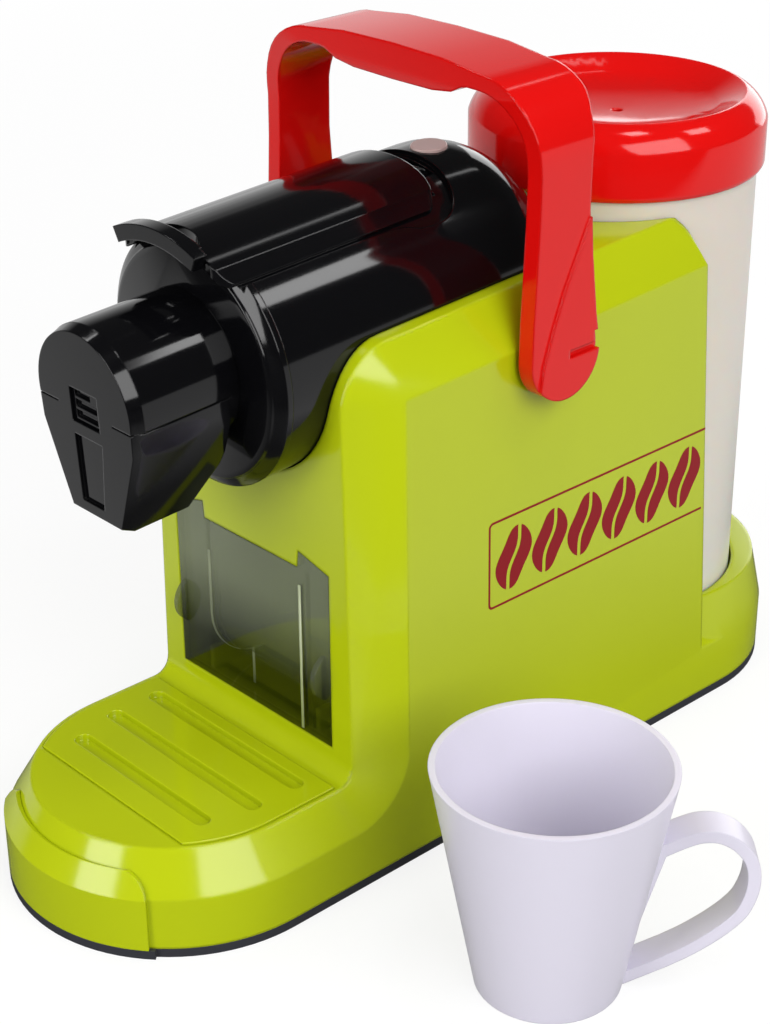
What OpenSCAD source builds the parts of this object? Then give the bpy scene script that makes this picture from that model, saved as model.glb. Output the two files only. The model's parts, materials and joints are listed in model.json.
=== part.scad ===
// Toy coffee maker for play kitchens, with a lift-off water tank, a capsule
// lever, a capsule drawer, a carry handle and its own play cup.
// +Z up, -Y is the side of the spout, +X the side panel that is seen first.
// The origin is the centre of the base on the floor. Millimetres.

/* [Base] */
// Width of the base, twice the radius of its round ends
base_w = 95; // [91:1:100]
// Length of the base from the front to the tank end
base_len = 272; // [266:1:284]
// Thickness of the dark base plate
plate_t = 2.7; // [2.4:0.1:3.2]
// Height of the upright skirt
skirt_z = 18.2; // [17:0.2:20]
// Height of the deck that the cup stands on
deck_z = 29.7; // [28.5:0.1:31]
// How far the deck edge lies inside the skirt
deck_inset = 6.9; // [5.5:0.1:8]
// Height of the rim round the foot of the tank
rim_z = 34; // [32:0.5:37]
// How far the rim edge lies inside the skirt
rim_inset = 3.3; // [2.5:0.1:3.5]
// Wall thickness of the coloured mouldings
wall = 2.4; // [2:0.1:2.6]
// How far the front bezel stands proud of the skirt
bezel_t = 1.2; // [0.8:0.1:1.8]
// Half angle of the front bezel, in degrees
bezel_a = 41; // [35:1:48]
// Radius of the bezel's upper corners
bezel_corner = 8; // [6:0.5:10]

/* [Tower] */
// Distance of the tower's front wall from the middle of the base
tower_front = 61; // [58:0.5:62]
// Height of the tower's crest at the middle of the base
crest_z = 155.8; // [154:0.2:158]
// Half width of the crest land
land_half = 38.2; // [37.6:0.1:39]
// Half width of the side panels at their top
panel_half = 46; // [45:0.1:46.5]
// Width of the sloped band in front of the side panels
band_w = 15; // [12:0.5:18]
// Height of the sloped band above the side panels
band_h = 14; // [11:0.5:16]
// Slope of the tower's crest, in degrees
tower_tilt = 2.9; // [2:0.1:3.5]
// Radius of the crest's front corner
crest_r = 17; // [12:0.5:20]
// Radius of the crest's rear corner
rear_r = 8; // [5:0.5:10]
// Distance of the tower's rear edge from the middle of the base at the top
tower_rear = 70; // [68:0.5:72]
// Further distance of the tower's rear edge at the bottom
rear_lean = 7; // [4:0.5:9]
// Radius of the blend between side panel and skirt
blend_ro = 20; // [14:1:26]
// Radius of the blend between front wall and deck
blend_ri = 5; // [4:0.5:7]

/* [Head] */
// Height of the barrel's axis at the middle of the base
head_z = 148.85; // [147.5:0.1:150]
// Slope of the barrel, in degrees
head_tilt = 2.9; // [2.5:0.1:3.3]
// Radius of the barrel
barrel_r = 34.3; // [33.4:0.1:34.8]
// Depth of the barrel's recess round the lever
recess_deep = 1.2; // [0.8:0.1:1.3]
// Half angle of the recess, in degrees
recess_a = 39.4; // [39:0.1:41]
// Length of the barrel in front of the middle of the base
barrel_front = 73; // [71:0.5:75]
// Length of the barrel's straight part behind the middle of the base
barrel_back = 9; // [8:0.5:10]
// Length of the barrel's domed end
dome_len = 24; // [22:0.5:25]
// Wall of the black mouldings
head_wall = 2.4; // [2:0.1:2.6]
// Radius of the collar's front lip
lip_r = 31.2; // [30.5:0.1:32]
// Length of the collar in front of the barrel
collar_len = 5; // [4:0.5:6]
// Radius of the nozzle
nozzle_r = 20; // [19.5:0.1:20.6]
// Height of the nozzle's centre over the barrel's axis
nozzle_up = 0.6; // [0.2:0.1:1.2]
// Length of the nozzle in front of the collar
nozzle_len = 33; // [30:0.5:35]
// Half width of the nozzle's lower end
wedge_half = 10.8; // [10:0.1:11.6]
// Depth of the nozzle's lower end below the barrel's axis
wedge_z = 32.3; // [31.3:0.1:33.3]
// Length of the bevelled rim of the nozzle's face
rim_len = 3.4; // [2.4:0.2:4]
// Width of the louvred insert in the nozzle's face
grille_w = 11; // [10:0.5:12]
// Height of the louvred insert
grille_h = 9.4; // [8.8:0.1:10]
// Radius of the spout's bore
spout_bore = 2.2; // [2:0.1:2.4]

/* [Lever] */
// Half angle of the lever's curved cover, in degrees
lever_a = 37.5; // [36.5:0.5:38]
// Thickness of the lever's cover
lever_t = 2.8; // [2.6:0.1:3.2]
// Half angle of the lever's rounded top, in degrees
shoulder_a = 30; // [28:0.5:31]
// Running gap between lever and the barrel's recess
lever_gap = 0.4; // [0.3:0.05:0.5]
// Length of the lever in front of its pin
lever_len = 73.6; // [72:0.2:75]
// Distance of the lever's pin in front of the middle of the base
pin_y = 8; // [7:0.5:9]
// Depth of the lever's pin below the barrel's surface
pin_deep = 6.1; // [5.8:0.1:6.4]
// Radius of the lever's pin
pin_r = 1.5; // [1.3:0.1:1.6]
// Thickness of the lever's front lip
lip_t = 4; // [3.4:0.1:4.4]
// Half angle of the front lip, in degrees
lip_a = 25; // [23:0.5:27]
// Half angle of the finger hole behind the lip, in degrees
hollow_a = 16; // [14:0.5:18]

/* [Button] */
// Radius of the start button
button_r = 5; // [4.4:0.1:5.4]
// Height of the start button over the barrel
button_up = 0.6; // [0.4:0.1:1]
// Distance of the start button behind the middle of the base
button_y = 7.4; // [6.6:0.2:8]
// Travel of the start button
button_travel = 1.2; // [0.8:0.1:1.4]

/* [Drawer] */
// Half width of the drawer's front
drawer_half = 32; // [30.5:0.5:33]
// Height of the drawer's lower edge above the deck
drawer_lift = 7.4; // [7:0.1:9]
// Height of the drawer's front in the middle
drawer_h = 50.4; // [48:0.5:52]
// Further height of the drawer's two raised corners
tab_h = 5; // [3.5:0.5:6]
// Half width between the raised corners
tab_half = 19.8; // [18:0.2:21]
// Thickness of the drawer's front
drawer_t = 2.2; // [1.8:0.1:2.4]
// Depth of the drawer behind its front
drawer_deep = 30; // [28:0.5:31]
// Half width of the drawer's bin
bin_half = 22; // [20:0.5:23]
// Wall of the bin
bin_wall = 1.6; // [1.3:0.1:1.8]
// Radius of the bin's rounded floor
scoop_r = 18; // [15:0.5:19]
// Radius of the two grips
grip_r = 7.4; // [6:0.2:8]
// How far the grips stand out
grip_out = 4.4; // [3:0.2:5]

/* [Tank] */
// Distance of the tank's axis behind the middle of the base
tank_y = 81.4; // [80.6:0.1:82.4]
// Radius of the tank
tank_r = 41.2; // [40.6:0.1:41.4]
// Wall of the tank
tank_wall = 1.7; // [1.4:0.1:2]
// Height of the tank from its seat to its rim
tank_h = 151.6; // [147:0.5:156]
// Depth of the tank's seat below the rim of the base
seat_deep = 9.6; // [8.6:0.2:10.4]
// Gap between tank and bay
bay_gap = 0.8; // [0.6:0.1:0.9]
// Radius of the valve's stem
valve_r = 4; // [3.5:0.1:4.3]

/* [Lid] */
// Thickness of the lid's skirt
lid_wall = 1.8; // [1.5:0.1:2]
// Depth of the lid's skirt below the tank's rim
lid_skirt = 12.3; // [10:0.1:14]
// Height of the lid above the tank's rim
lid_h = 8.8; // [8.2:0.1:9.6]
// Radius of the raised ring on the lid
lid_ring = 37; // [36.4:0.1:37.4]
// Radius of the dish in the lid
dish_r = 29; // [28:0.1:30]
// Depth of the dish
dish_deep = 4.4; // [4:0.1:4.8]
// Radius of the vent hole
vent_r = 1.4; // [1:0.1:1.8]

/* [Handle] */
// Distance of the handle's pivot behind the middle of the base
pivot_y = 4.6; // [3.6:0.2:5.6]
// Height of the handle's pivot
pivot_z = 139.2; // [138.4:0.2:140]
// Gap between the handle's legs and the side panels
leg_gap = 1.7; // [1.3:0.1:2.1]
// Thickness of the handle's strap
strap_t = 5; // [4.6:0.1:5.4]
// Radius of the handle's pivot ends
pivot_r = 12.4; // [11.6:0.1:13]
// Height of the handle's top above the pivot
handle_h = 75; // [73.5:0.5:79]
// Outer radius of the handle's corners
corner_r = 20; // [17:0.5:23]
// Thickness of the grip below the strap
grip_t = 3.6; // [2.6:0.1:4]
// Radius of the pivot pegs
peg_r = 5; // [4.4:0.1:5.4]

/* [Cup] */
// Height of the cup
cup_h = 64.4; // [60:0.2:70]
// Outer radius of the cup at its rim
cup_rt = 31; // [29:0.2:33]
// Outer radius of the cup at its foot
cup_rb = 19.2; // [18:0.2:21]
// Wall of the cup
cup_wall = 1.8; // [1.5:0.1:2.2]
// Distance of the cup to the side of the machine's middle line
cup_x = 107.2; // [100:0.2:116]
// Distance of the cup in front of the middle of the base
cup_y = 54.1; // [48:0.2:60]
// Width of the cup's strap handle
cup_strap_w = 9; // [7:0.5:11]
// Thickness of the cup's strap handle
cup_strap_t = 3.4; // [3:0.1:4]

/* [Inside] */
// Diameter of a battery
cell_d = 14.5; // [14.3:0.1:14.5]
// Length of a battery
cell_len = 50.5; // [50:0.1:50.5]
// Radius of the pump motor
motor_r = 10; // [9:0.5:11]
// Length of the pump motor
motor_len = 26; // [24:0.5:28]
// Radius of the pump housing
pump_r = 13; // [12.5:0.5:14]
// Outer radius of the hoses
hose_r = 2.2; // [2:0.1:2.4]
// Inner width of the capsule chute along X
chute_x = 26; // [24:0.5:27]
// Inner width of the capsule chute along Y
chute_y = 22; // [20:0.5:23]
// Radius of a housing screw's head
screw_r = 2.8; // [2.5:0.1:3]

/* [Fits] */
// Gap round pieces that are laid or snapped in
fit_gap = 0.3; // [0.2:0.05:0.4]
// Radial gap of a pin or stem that turns or slides in its bore
run_gap = 0.08; // [0.05:0.01:0.1]

/* [Hidden] */
$fn = 96;

lime = "#b7c62c";
black = "#141416";
dark = "#4a4b55";
red = "#d0161a";

base_r = base_w / 2;
end_y = base_len / 2 - base_r;
deck_r = base_r - deck_inset;
k_tower = tan(tower_tilt);
k_head = tan(head_tilt);
panel_y = tower_front - band_w;
seat_z = rim_z - seat_deep;
bay_r = tank_r + bay_gap;
tank_top = seat_z + tank_h;
drawer_z = deck_z + drawer_lift;
front_half = deck_r;
tray_r = deck_r - 1.4;
tray_deep = 2.4;
tray_front = deck_r - 17.1;
tray_rear = tower_front + blend_ri + 0.6;
blend_n = 10;
boss_r = 4;
boss_bore = 1.3;
cell_z = plate_t + 0.6 + cell_d / 2;
cell_step = cell_d + 1.1;
cell_y0 = -end_y + 1.5;
motor_z = plate_t + 3 + pump_r + 1;
motor_y0 = -18;
pump_y0 = motor_y0 + motor_len + 1.4;
pump_wall = 1.6;
pump_len = 12;
chute_t = 1.6;
chute_yc = -46;
socket_r = 10.4;
boss_tank_r = 7.5;
boss_tank_h = 6;
peg_in = 3.2;
socket_h = 10.4;
screw_len = 11;
contact_w = 10;
knuckle_r = 6.6;
leg_in = panel_half + leg_gap + 0.2;
leg_out = leg_in + strap_t;
peg_x = barrel_r + 1.1;
pin_z = barrel_r - pin_deep;
recess_r = barrel_r - recess_deep;
lever_ri = recess_r + lever_gap;
lever_ro = lever_ri + lever_t;
collar_y = barrel_front + collar_len;
nozzle_y = collar_y + nozzle_len;
switch_z = barrel_r - head_wall - button_travel - 2.8;

function crest(y) = crest_z + y * k_tower;
function arc(cy, cz, r, a0, a1, n) =
    [for (i = [0:n]) let (a = a0 + (a1 - a0) * i / n) [cy + r * cos(a), cz + r * sin(a)]];
function side_x(z) = base_r - (z - skirt_z) * (base_r - panel_half) / (crest_z - band_h - skirt_z);

// ---------- shared frames and forms ----------

// Frame of the head: Y runs along the barrel's axis, which climbs to the rear.
module head_frame() {
    translate([0, 0, head_z]) rotate([head_tilt, 0, 0]) children();
}

// Cylinder along Y from y0 to y1, with radii r0 and r1.
module ycyl(y0, y1, r0, r1) {
    translate([0, y0, 0]) rotate([-90, 0, 0]) cylinder(r1 = r0, r2 = r1, h = y1 - y0);
}

// A profile in Y and Z, extruded along X from -h to h.
module side_slab(h) {
    rotate([90, 0, 90]) translate([0, 0, -h]) linear_extrude(2 * h) children();
}

// Plan outline of the base.
module stadium(r) {
    translate([0, end_y]) circle(r);
    translate([0, -end_y]) circle(r);
    translate([-r, -end_y]) square([2 * r, 2 * end_y]);
}

// Skirt, sloped deck band and tank rim, drawn in by t.
module base_form(t, z0) {
    r = base_r - t;
    top = deck_z - t;
    rd = r - deck_inset * (top - skirt_z) / (deck_z - skirt_z);
    translate([0, 0, z0]) linear_extrude(skirt_z - z0) stadium(r);
    translate([0, -end_y, skirt_z]) cylinder(r1 = r, r2 = rd, h = top - skirt_z);
    translate([0, end_y, 0]) rotate([90, 0, 0]) linear_extrude(2 * end_y)
        polygon([[-r, skirt_z], [r, skirt_z], [rd, top], [-rd, top]]);
    translate([0, end_y, skirt_z])
        cylinder(r1 = r, r2 = base_r - rim_inset - t, h = rim_z - t - skirt_z);
}

// Tower with its land, side panels and the sloped band between them.
module tower_form(t) {
    cy = -tower_front + crest_r;
    cz = crest(cy) - crest_r / cos(tower_tilt);
    ry = tower_rear - rear_r;
    rz = crest(ry) - rear_r / cos(tower_tilt);
    zl = skirt_z + 2;
    pz = crest(-panel_y) - band_h - t;
    pr = crest(tower_rear) - band_h - t;
    hull() {
        side_slab(land_half - t) polygon(concat([[-tower_front + t, zl + 14]],
            arc(cy, cz, crest_r - t, 180, 90 + tower_tilt, 12),
            arc(ry, rz, rear_r - t, 90 + tower_tilt, 3, 8),
            [[tower_rear + rear_lean - t, zl]]));
        side_slab(panel_half - t) polygon([[-panel_y + t, pz], [tower_rear - t, pr],
            [tower_rear + rear_lean - t, zl], [-panel_y + t, zl]]);
        translate([-base_r + t, -panel_y + t, skirt_z])
            cube([2 * (base_r - t), panel_y + tower_rear + rear_lean - 2 * t, 0.2]);
        translate([-front_half + t, -tower_front + t, deck_z])
            cube([2 * (front_half - t), 10, 0.2]);
    }
}

// Concave corner between side panel, skirt and deck band, on the +X side.
module corner_blend() {
    n = blend_n;
    outer = [for (i = [0:n]) let (a = -90 * i / n, z = skirt_z + blend_ro * (1 + sin(a)))
        [side_x(z), -panel_y - blend_ro * (1 - cos(a)), z]];
    inner = [for (i = [0:n]) let (a = -90 * i / n)
        [front_half, -tower_front - blend_ri * (1 - cos(a)), deck_z + blend_ri * (1 + sin(a))]];
    oc = [side_x(skirt_z), -panel_y + 2, skirt_z];
    ic = [front_half - 3, -tower_front + 3, deck_z - 3];
    m = n + 1;
    pts = concat(outer, inner, [oc, ic]);
    polyhedron(pts, concat(
        [for (i = [0:n - 1]) [i, i + 1, m + i]],
        [for (i = [0:n - 1]) [i + 1, m + i + 1, m + i]],
        [for (i = [0:n - 1]) [2 * m, i + 1, i]],
        [for (i = [0:n - 1]) [2 * m + 1, m + i, m + i + 1]],
        [[2 * m, 0, m], [2 * m, m, 2 * m + 1], [n, 2 * m, 2 * m + 1], [n, 2 * m + 1, m + n]]));
}

// Solid of revolution of the barrel, grown by g.
module barrel_form(g) {
    r = barrel_r + g;
    y0 = -barrel_front - g;
    rotate([-90, 0, 0]) rotate_extrude() polygon(concat(
        [[0, y0], [r, y0], [r, barrel_back]],
        [for (i = [1:12]) let (a = 90 * i / 12)
            [r * pow(cos(a), 0.72), barrel_back + (dome_len + g) * sin(a)]]));
}

// Outline of the drawer's front, grown by g.
module drawer_outline(g) {
    b = drawer_half + g;
    c = tab_half - g;
    zt = drawer_h + g;
    zc = drawer_h + tab_h + g;
    polygon([[-b, -g], [b, -g], [b, zc - 3], [c + 0.5, zc], [c, zt], [-c, zt],
        [-c - 0.5, zc], [-b, zc - 3]]);
}

// Outline of the drip tray, grown by g: round with a straight front.
module tray_outline(g) {
    intersection() {
        union() {
            translate([0, -end_y]) circle(tray_r + g);
            translate([-tray_r - g, -end_y]) square([2 * (tray_r + g), end_y - tray_rear + g]);
        }
        translate([-base_r, -end_y - tray_front - g])
            square([base_w, end_y + tray_front - tray_rear + 2 * g]);
    }
}

boss_x = base_r - 5.5;
boss_front = 24.5 - end_y;
boss_rear = end_y + 23.5;
boss_at = [[-36, boss_front], [36, boss_front], [-boss_x, 20], [boss_x, 20], [-27, boss_rear],
           [27, boss_rear]];
module at_bosses() {
    for (p = boss_at) translate([p[0], p[1], 0]) children();
}

// ---------- machine ----------

module body_shell() {
    top_boss = skirt_z + 3;
    color(lime) difference() {
        union() {
            difference() {
                union() {
                    base_form(0, plate_t);
                    tower_form(0);
                    corner_blend();
                    mirror([1, 0, 0]) corner_blend();
                    side_slab(front_half - 0.2) polygon(concat(
                        [[-tower_front + 1, deck_z - 1], [-tower_front + 1, deck_z + blend_ri]],
                        arc(-tower_front - blend_ri, deck_z + blend_ri, blend_ri, 0, -90, 8),
                        [[-tower_front - blend_ri, deck_z - 1]]));
                }
                difference() {
                    union() {
                        base_form(wall, plate_t - 1);
                        tower_form(wall);
                    }
                    translate([0, tank_y, seat_z - wall]) cylinder(r = bay_r + wall, h = 200);
                    translate([0, 0, deck_z - tray_deep - 2]) linear_extrude(20)
                        tray_outline(wall);
                }
            }
            // screw bosses
            intersection() {
                at_bosses() translate([0, 0, plate_t]) cylinder(r = boss_r, h = 24);
                base_form(wall / 2, plate_t);
            }
            // bosses behind the side panels for the pivot pegs
            intersection() {
                for (s = [-1, 1]) translate([s * (peg_x + 2.3 + 6) - 6, pivot_y, pivot_z])
                    rotate([0, 90, 0]) cylinder(r = peg_r + 3, h = 12);
                tower_form(wall / 2);
            }
            // two cradle ribs below the barrel
            for (y = [-20, 23]) intersection() {
                translate([-60, y, 96]) cube([120, wall, 60]);
                tower_form(wall / 2);
            }
        }
        // tank bay
        translate([0, tank_y, seat_z]) cylinder(r = bay_r, h = 200);
        // room for the tank's lid
        translate([0, tank_y, tank_top - lid_skirt - 1])
            cylinder(r = tank_r + fit_gap + lid_wall + 1, h = 200);
        translate([0, tank_y, plate_t]) cylinder(r = socket_r + fit_gap, h = seat_z);
        // cradle of the barrel
        head_frame() barrel_form(fit_gap);
        head_frame() ycyl(-90, -barrel_front + 1, barrel_r + fit_gap, barrel_r + fit_gap);
        // drawer opening
        translate([0, -tower_front + wall + 0.6, drawer_z]) rotate([90, 0, 0])
            linear_extrude(20) drawer_outline(fit_gap);
        // recess of the drip tray
        translate([0, 0, deck_z - tray_deep]) linear_extrude(3) tray_outline(fit_gap / 2);
        // holes of the pivot pegs
        translate([0, pivot_y, pivot_z]) rotate([0, 90, 0])
            cylinder(r = peg_r + run_gap, h = 120, center = true);
        // screw holes
        at_bosses() translate([0, 0, plate_t - 1]) cylinder(r = boss_bore, h = 12);
    }
}

module base_plate() {
    cy1 = cell_y0 + cell_step;
    hw = cell_len / 2 + 1.6;
    hl = 1.5 * cell_step + 0.6;
    color(dark) difference() {
        union() {
            linear_extrude(plate_t) stadium(base_r);
            intersection() {
                translate([0, -end_y, 0]) cylinder(r = base_r + bezel_t, h = plate_t);
                translate([0, -end_y, 0]) linear_extrude(plate_t)
                    polygon([[0, 0], 90 * [sin(bezel_a + 2), -cos(bezel_a + 2)],
                        [0, -90], 90 * [-sin(bezel_a + 2), -cos(bezel_a + 2)]]);
            }
            translate([-hw - wall, cy1 - hl - wall, 0])
                cube([2 * (hw + wall), 2 * (hl + wall), plate_t + cell_d * 0.7]);
            // cradle of the motor
            for (y = [motor_y0 + 3, motor_y0 + motor_len - 6])
                translate([-motor_r - 2, y, 0]) cube([2 * motor_r + 4, wall, motor_z]);
            // stand of the pump housing
            translate([-pump_r + 1, pump_y0 + 2, 0]) cube([2 * pump_r - 2, wall, motor_z]);
        }
        // battery compartment, open below
        translate([-hw, cy1 - hl, -1]) cube([2 * hw, 2 * hl, 40]);
        // rebate of the battery door
        translate([-hw - wall + 0.8, cy1 - hl - wall + 0.8, -1])
            cube([2 * (hw + wall) - 1.6, 2 * (hl + wall) - 1.6, 1 + plate_t * 0.6]);
        ycyl2(motor_y0 - 1, motor_y0 + motor_len + 1, motor_r + fit_gap);
        ycyl2(pump_y0, pump_y0 + pump_len, pump_r + fit_gap);
        // counterbored screw holes
        at_bosses() {
            translate([0, 0, -1]) cylinder(r = boss_bore + 0.3, h = 10);
            translate([0, 0, -1]) cylinder(r = screw_r + fit_gap, h = 2.35);
        }
    }
}

// Cylinder along Y at the height of the motor.
module ycyl2(y0, y1, r) {
    translate([0, 0, motor_z]) ycyl(y0, y1, r, r);
}

module front_bezel() {
    g = 0.1;
    ztop = skirt_z + 0.55 * (deck_z - skirt_z);
    rt = base_r - deck_inset * 0.55;
    color(lime) difference() {
      intersection() {
        translate([0, -end_y, 0]) rotate_extrude() polygon([[base_r + g, plate_t],
            [base_r + bezel_t, plate_t], [base_r + bezel_t, skirt_z + 0.4],
            [rt + bezel_t, ztop + 0.6], [rt + g, ztop], [base_r + g, skirt_z]]);
        translate([0, -end_y, 0]) linear_extrude(60)
            polygon([[0, 0], 90 * [sin(bezel_a), -cos(bezel_a)], [0, -90],
                90 * [-sin(bezel_a), -cos(bezel_a)]]);
      }
      for (s = [-1, 1]) scale([s, 1, 1]) translate([0, -end_y, ztop + 0.7]) rotate([0, 0, bezel_a])
          rotate([90, 0, 0]) linear_extrude(90) difference() {
              translate([-bezel_corner, -bezel_corner]) square(bezel_corner + 1);
              translate([-bezel_corner, -bezel_corner]) circle(bezel_corner);
          }
    }
}

// Lengths and places of the tray's three closed grooves.
grooves = [[10.2 - tray_front, 26.4], [0.9, 30.3], [15.5, 30.3]];

module drip_tray() {
    color(lime) difference() {
        translate([0, 0, deck_z - tray_deep]) linear_extrude(tray_deep + 0.5) tray_outline(0);
        for (g = grooves) translate([0, -end_y + g[0], deck_z + 0.5 - 2]) {
            translate([-g[1], -2.4, 0]) cube([2 * g[1], 4.8, 5]);
            for (s = [-1, 1]) translate([s * g[1], 0, 0]) cylinder(r = 2.4, h = 5);
        }
    }
}

module battery_door() {
    cy1 = cell_y0 + cell_step;
    hw = cell_len / 2 + 1.6 + wall - 0.8 - fit_gap;
    hl = 1.5 * cell_step + 0.6 + wall - 0.8 - fit_gap;
    color(dark) difference() {
        union() {
            translate([-hw, cy1 - hl, 0]) cube([2 * hw, 2 * hl, plate_t * 0.6 - 0.05]);
            translate([-hw + 4, cy1 - hl + 4, 0])
                cube([2 * hw - 8, 2 * hl - 8, plate_t * 0.6 + 0.9]);
        }
        translate([0, cy1 + hl - 6, -1]) cylinder(r = boss_bore + 0.3, h = 10);
        translate([0, cy1 + hl - 6, -1]) cylinder(r = screw_r + fit_gap, h = 2.35);
        for (i = [-4:4]) translate([-hw + 8, cy1 + i * 3 - 0.5, -1])
            cube([10, 1, 1.5]);
    }
}

// A screw with a domed head below and its shank up to h.
module screw(z0, h) {
    translate([0, 0, z0]) difference() {
        union() {
            cylinder(r = screw_r, h = 1.2);
            cylinder(r = boss_bore - 0.05, h = h);
        }
        for (a = [0, 90]) rotate([0, 0, a]) translate([-1.6, -0.35, -1]) cube([3.2, 0.7, 1.7]);
    }
}

module battery_door_screw() {
    hl = 1.5 * cell_step + 0.6 + wall - 0.8 - fit_gap;
    color("silver") translate([0, cell_y0 + cell_step + hl - 6, 0]) screw(0.05, 3.2);
}

module housing_screws() {
    color("silver") at_bosses() screw(0.05, screw_len);
}

// One battery along X.
module cell(i) {
    d = (i % 2 == 0) ? 1 : -1;
    translate([0, cell_y0 + i * cell_step, cell_z]) rotate([0, 90 * d, 0])
        translate([0, 0, -cell_len / 2]) {
            cylinder(d = cell_d, h = cell_len - 1.2);
            cylinder(d = 5.4, h = cell_len);
        }
}

module battery_1() { color("#2d5c3a") cell(0); }
module battery_2() { color("#2d5c3a") cell(1); }
module battery_3() { color("#2d5c3a") cell(2); }

module battery_contacts() {
    color("silver") for (s = [-1, 1]) for (i = [0:2])
        translate([s * (cell_len / 2 + 0.2 + 0.35) - 0.3, cell_y0 + i * cell_step - contact_w / 2, plate_t + 2])
            cube([0.6, contact_w, contact_w]);
}

module drawer_liner() {
    x = drawer_half + 1;
    y0 = -tower_front + wall;
    y1 = y0 + drawer_deep + 2;
    zl = drawer_z - fit_gap;
    zh = drawer_z + drawer_h + tab_h + 1;
    color(lime) difference() {
        translate([-x - 1.8, y0, zl - 1.8]) cube([2 * x + 3.6, y1 - y0 + 1.8, zh - zl + 3.6]);
        translate([-x, y0 - 1, zl]) cube([2 * x, y1 - y0 + 1, zh - zl]);
        translate([-chute_x / 2, chute_yc - chute_y / 2, zh - 1]) cube([chute_x, chute_y, 6]);
    }
    // runners beside the bin
    color(lime) for (s = [-1, 1]) translate([s * (bin_half + fit_gap + 0.8) - 0.8, y0 + 0.6, zl - 0.2])
        cube([1.6, y1 - y0 - 1, 7]);
}

// The drawer's clear moulding: front, bin with its rounded floor, and two grips.
module capsule_drawer() {
    yf = -tower_front;
    yi = yf + drawer_t;
    yr = yf + drawer_deep;
    zi = 1.6;
    color("#5a604e") translate([0, 0, drawer_z]) {
        translate([0, yi, 0]) rotate([90, 0, 0]) linear_extrude(drawer_t) drawer_outline(0);
        // side walls and rear wall of the bin
        for (s = [-1, 1]) translate([s * (bin_half - bin_wall / 2) - bin_wall / 2, yi - 0.2, 0])
            cube([bin_wall, yr - yi + 0.2, drawer_h - 2]);
        translate([-bin_half, yr - bin_wall, 0]) cube([2 * bin_half, bin_wall, drawer_h - 12]);
        // rounded floor
        side_slab(bin_half - bin_wall + 0.1) difference() {
            polygon([[yi - 0.1, 0], [yr - 0.1, 0], [yr - 0.1, zi], [yi + scoop_r + zi, zi],
                [yi + scoop_r, zi + scoop_r], [yi - 0.1, zi + scoop_r + 8]]);
            translate([yi + scoop_r + 0.4, zi + scoop_r]) circle(scoop_r);
            translate([yi + 0.6, zi + scoop_r]) square([60, 60]);
        }
        // grips
        for (s = [-1, 1]) translate([s * (drawer_half - 2.6) - 0.8, yf + 0.2, 0.41 * drawer_h])
            rotate([90, 0, 90]) linear_extrude(1.6) difference() {
                translate([grip_r - grip_out, 0]) circle(grip_r);
                translate([0, -20]) square([40, 40]);
            }
    }
}

// ---------- head ----------

// Outline of the recess round the lever, seen from above.
module recess_plan() {
    x = barrel_r * sin(recess_a);
    xr = 0.7 * barrel_r;
    yc = -1.75 * pin_y;
    m = 14;
    rear = [for (i = [0:m]) let (a = 90 - 90 * i / m)
        [xr * pow(cos(a), 0.72), yc * (1 - 1.07 * pow(sin(a), 0.72))]];
    half = concat(rear, [[0.985 * xr, 1.32 * yc], [x + 0.02 * xr, 1.65 * yc], [x, 2 * yc],
        [x, -1.5 * collar_y], [0, -1.5 * collar_y]]);
    polygon(half);
    mirror([1, 0]) polygon(half);
}

module head_barrel() {
    color(black) head_frame() difference() {
        union() {
            difference() {
                barrel_form(0);
                difference() {
                    barrel_form(-head_wall);
                    translate([-50, -barrel_front - 1, -50]) cube([100, 1 + head_wall, 100]);
                }
            }
            // lugs of the lever's pin
            intersection() {
                barrel_form(-0.5);
                for (s = [-1, 1]) translate([s * 13.1 - 2.5, -pin_y - 5, pin_z - 6]) cube([5, 10, 12]);
            }
            // guide of the start button
            intersection() {
                barrel_form(-0.5);
                translate([0, button_y, switch_z - 1.3]) cylinder(r = button_r + 3.4, h = 20);
            }
        }
        // capsule way, upright, top and bottom
        rotate([-head_tilt, 0, 0]) translate([-chute_x / 2 - chute_t - fit_gap,
            chute_yc - chute_y / 2 - chute_t - fit_gap, -60])
            cube([chute_x + 2 * chute_t + 2 * fit_gap, chute_y + 2 * chute_t + 2 * fit_gap, 120]);
        // recess round the lever
        difference() {
            linear_extrude(60) recess_plan();
            ycyl(-100, 30, recess_r, recess_r);
        }
        // slot of the lever's knuckle
        translate([-10.4, -pin_y - knuckle_r - 0.3, pin_z]) cube([20.8, 2 * knuckle_r + 0.8, 20]);
        translate([-10.4, -pin_y, pin_z]) rotate([0, 90, 0]) cylinder(r = knuckle_r + 0.3, h = 20.8);
        translate([-16.5, -pin_y, pin_z]) rotate([0, 90, 0]) cylinder(r = pin_r + 0.02, h = 33);
        // start button
        translate([0, button_y, switch_z]) cylinder(r = button_r + run_gap, h = 30);
        translate([0, button_y, switch_z - 2])
            cylinder(r = button_r + 1.6, h = barrel_r - head_wall - switch_z + 1.4);
        // way of the hose
        translate([22, 12, -50]) cylinder(r = hose_r + 1.8, h = 50);
        translate([14, -barrel_front - 2, 0]) rotate([-90, 0, 0]) cylinder(r = hose_r + 3.2, h = 8);
    }
}

module collar_ring() {
    y0 = -collar_y;
    color(black) head_frame() difference() {
        rotate([-90, 0, 0]) rotate_extrude()
            polygon([[nozzle_r - 2, y0], [lip_r - 1.6, y0], [lip_r, y0 + 0.6], [lip_r + 0.3, y0 + 1.2],
                [barrel_r - 0.5, y0 + 2.6], [barrel_r + 0.2, y0 + 3.2], [barrel_r + 0.2, -barrel_front],
                [nozzle_r - 2, -barrel_front]]);
        // the recess round the lever runs out through the ring
        difference() {
            linear_extrude(60) recess_plan();
            ycyl(-100, 30, recess_r, recess_r);
        }
    }
}

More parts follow.
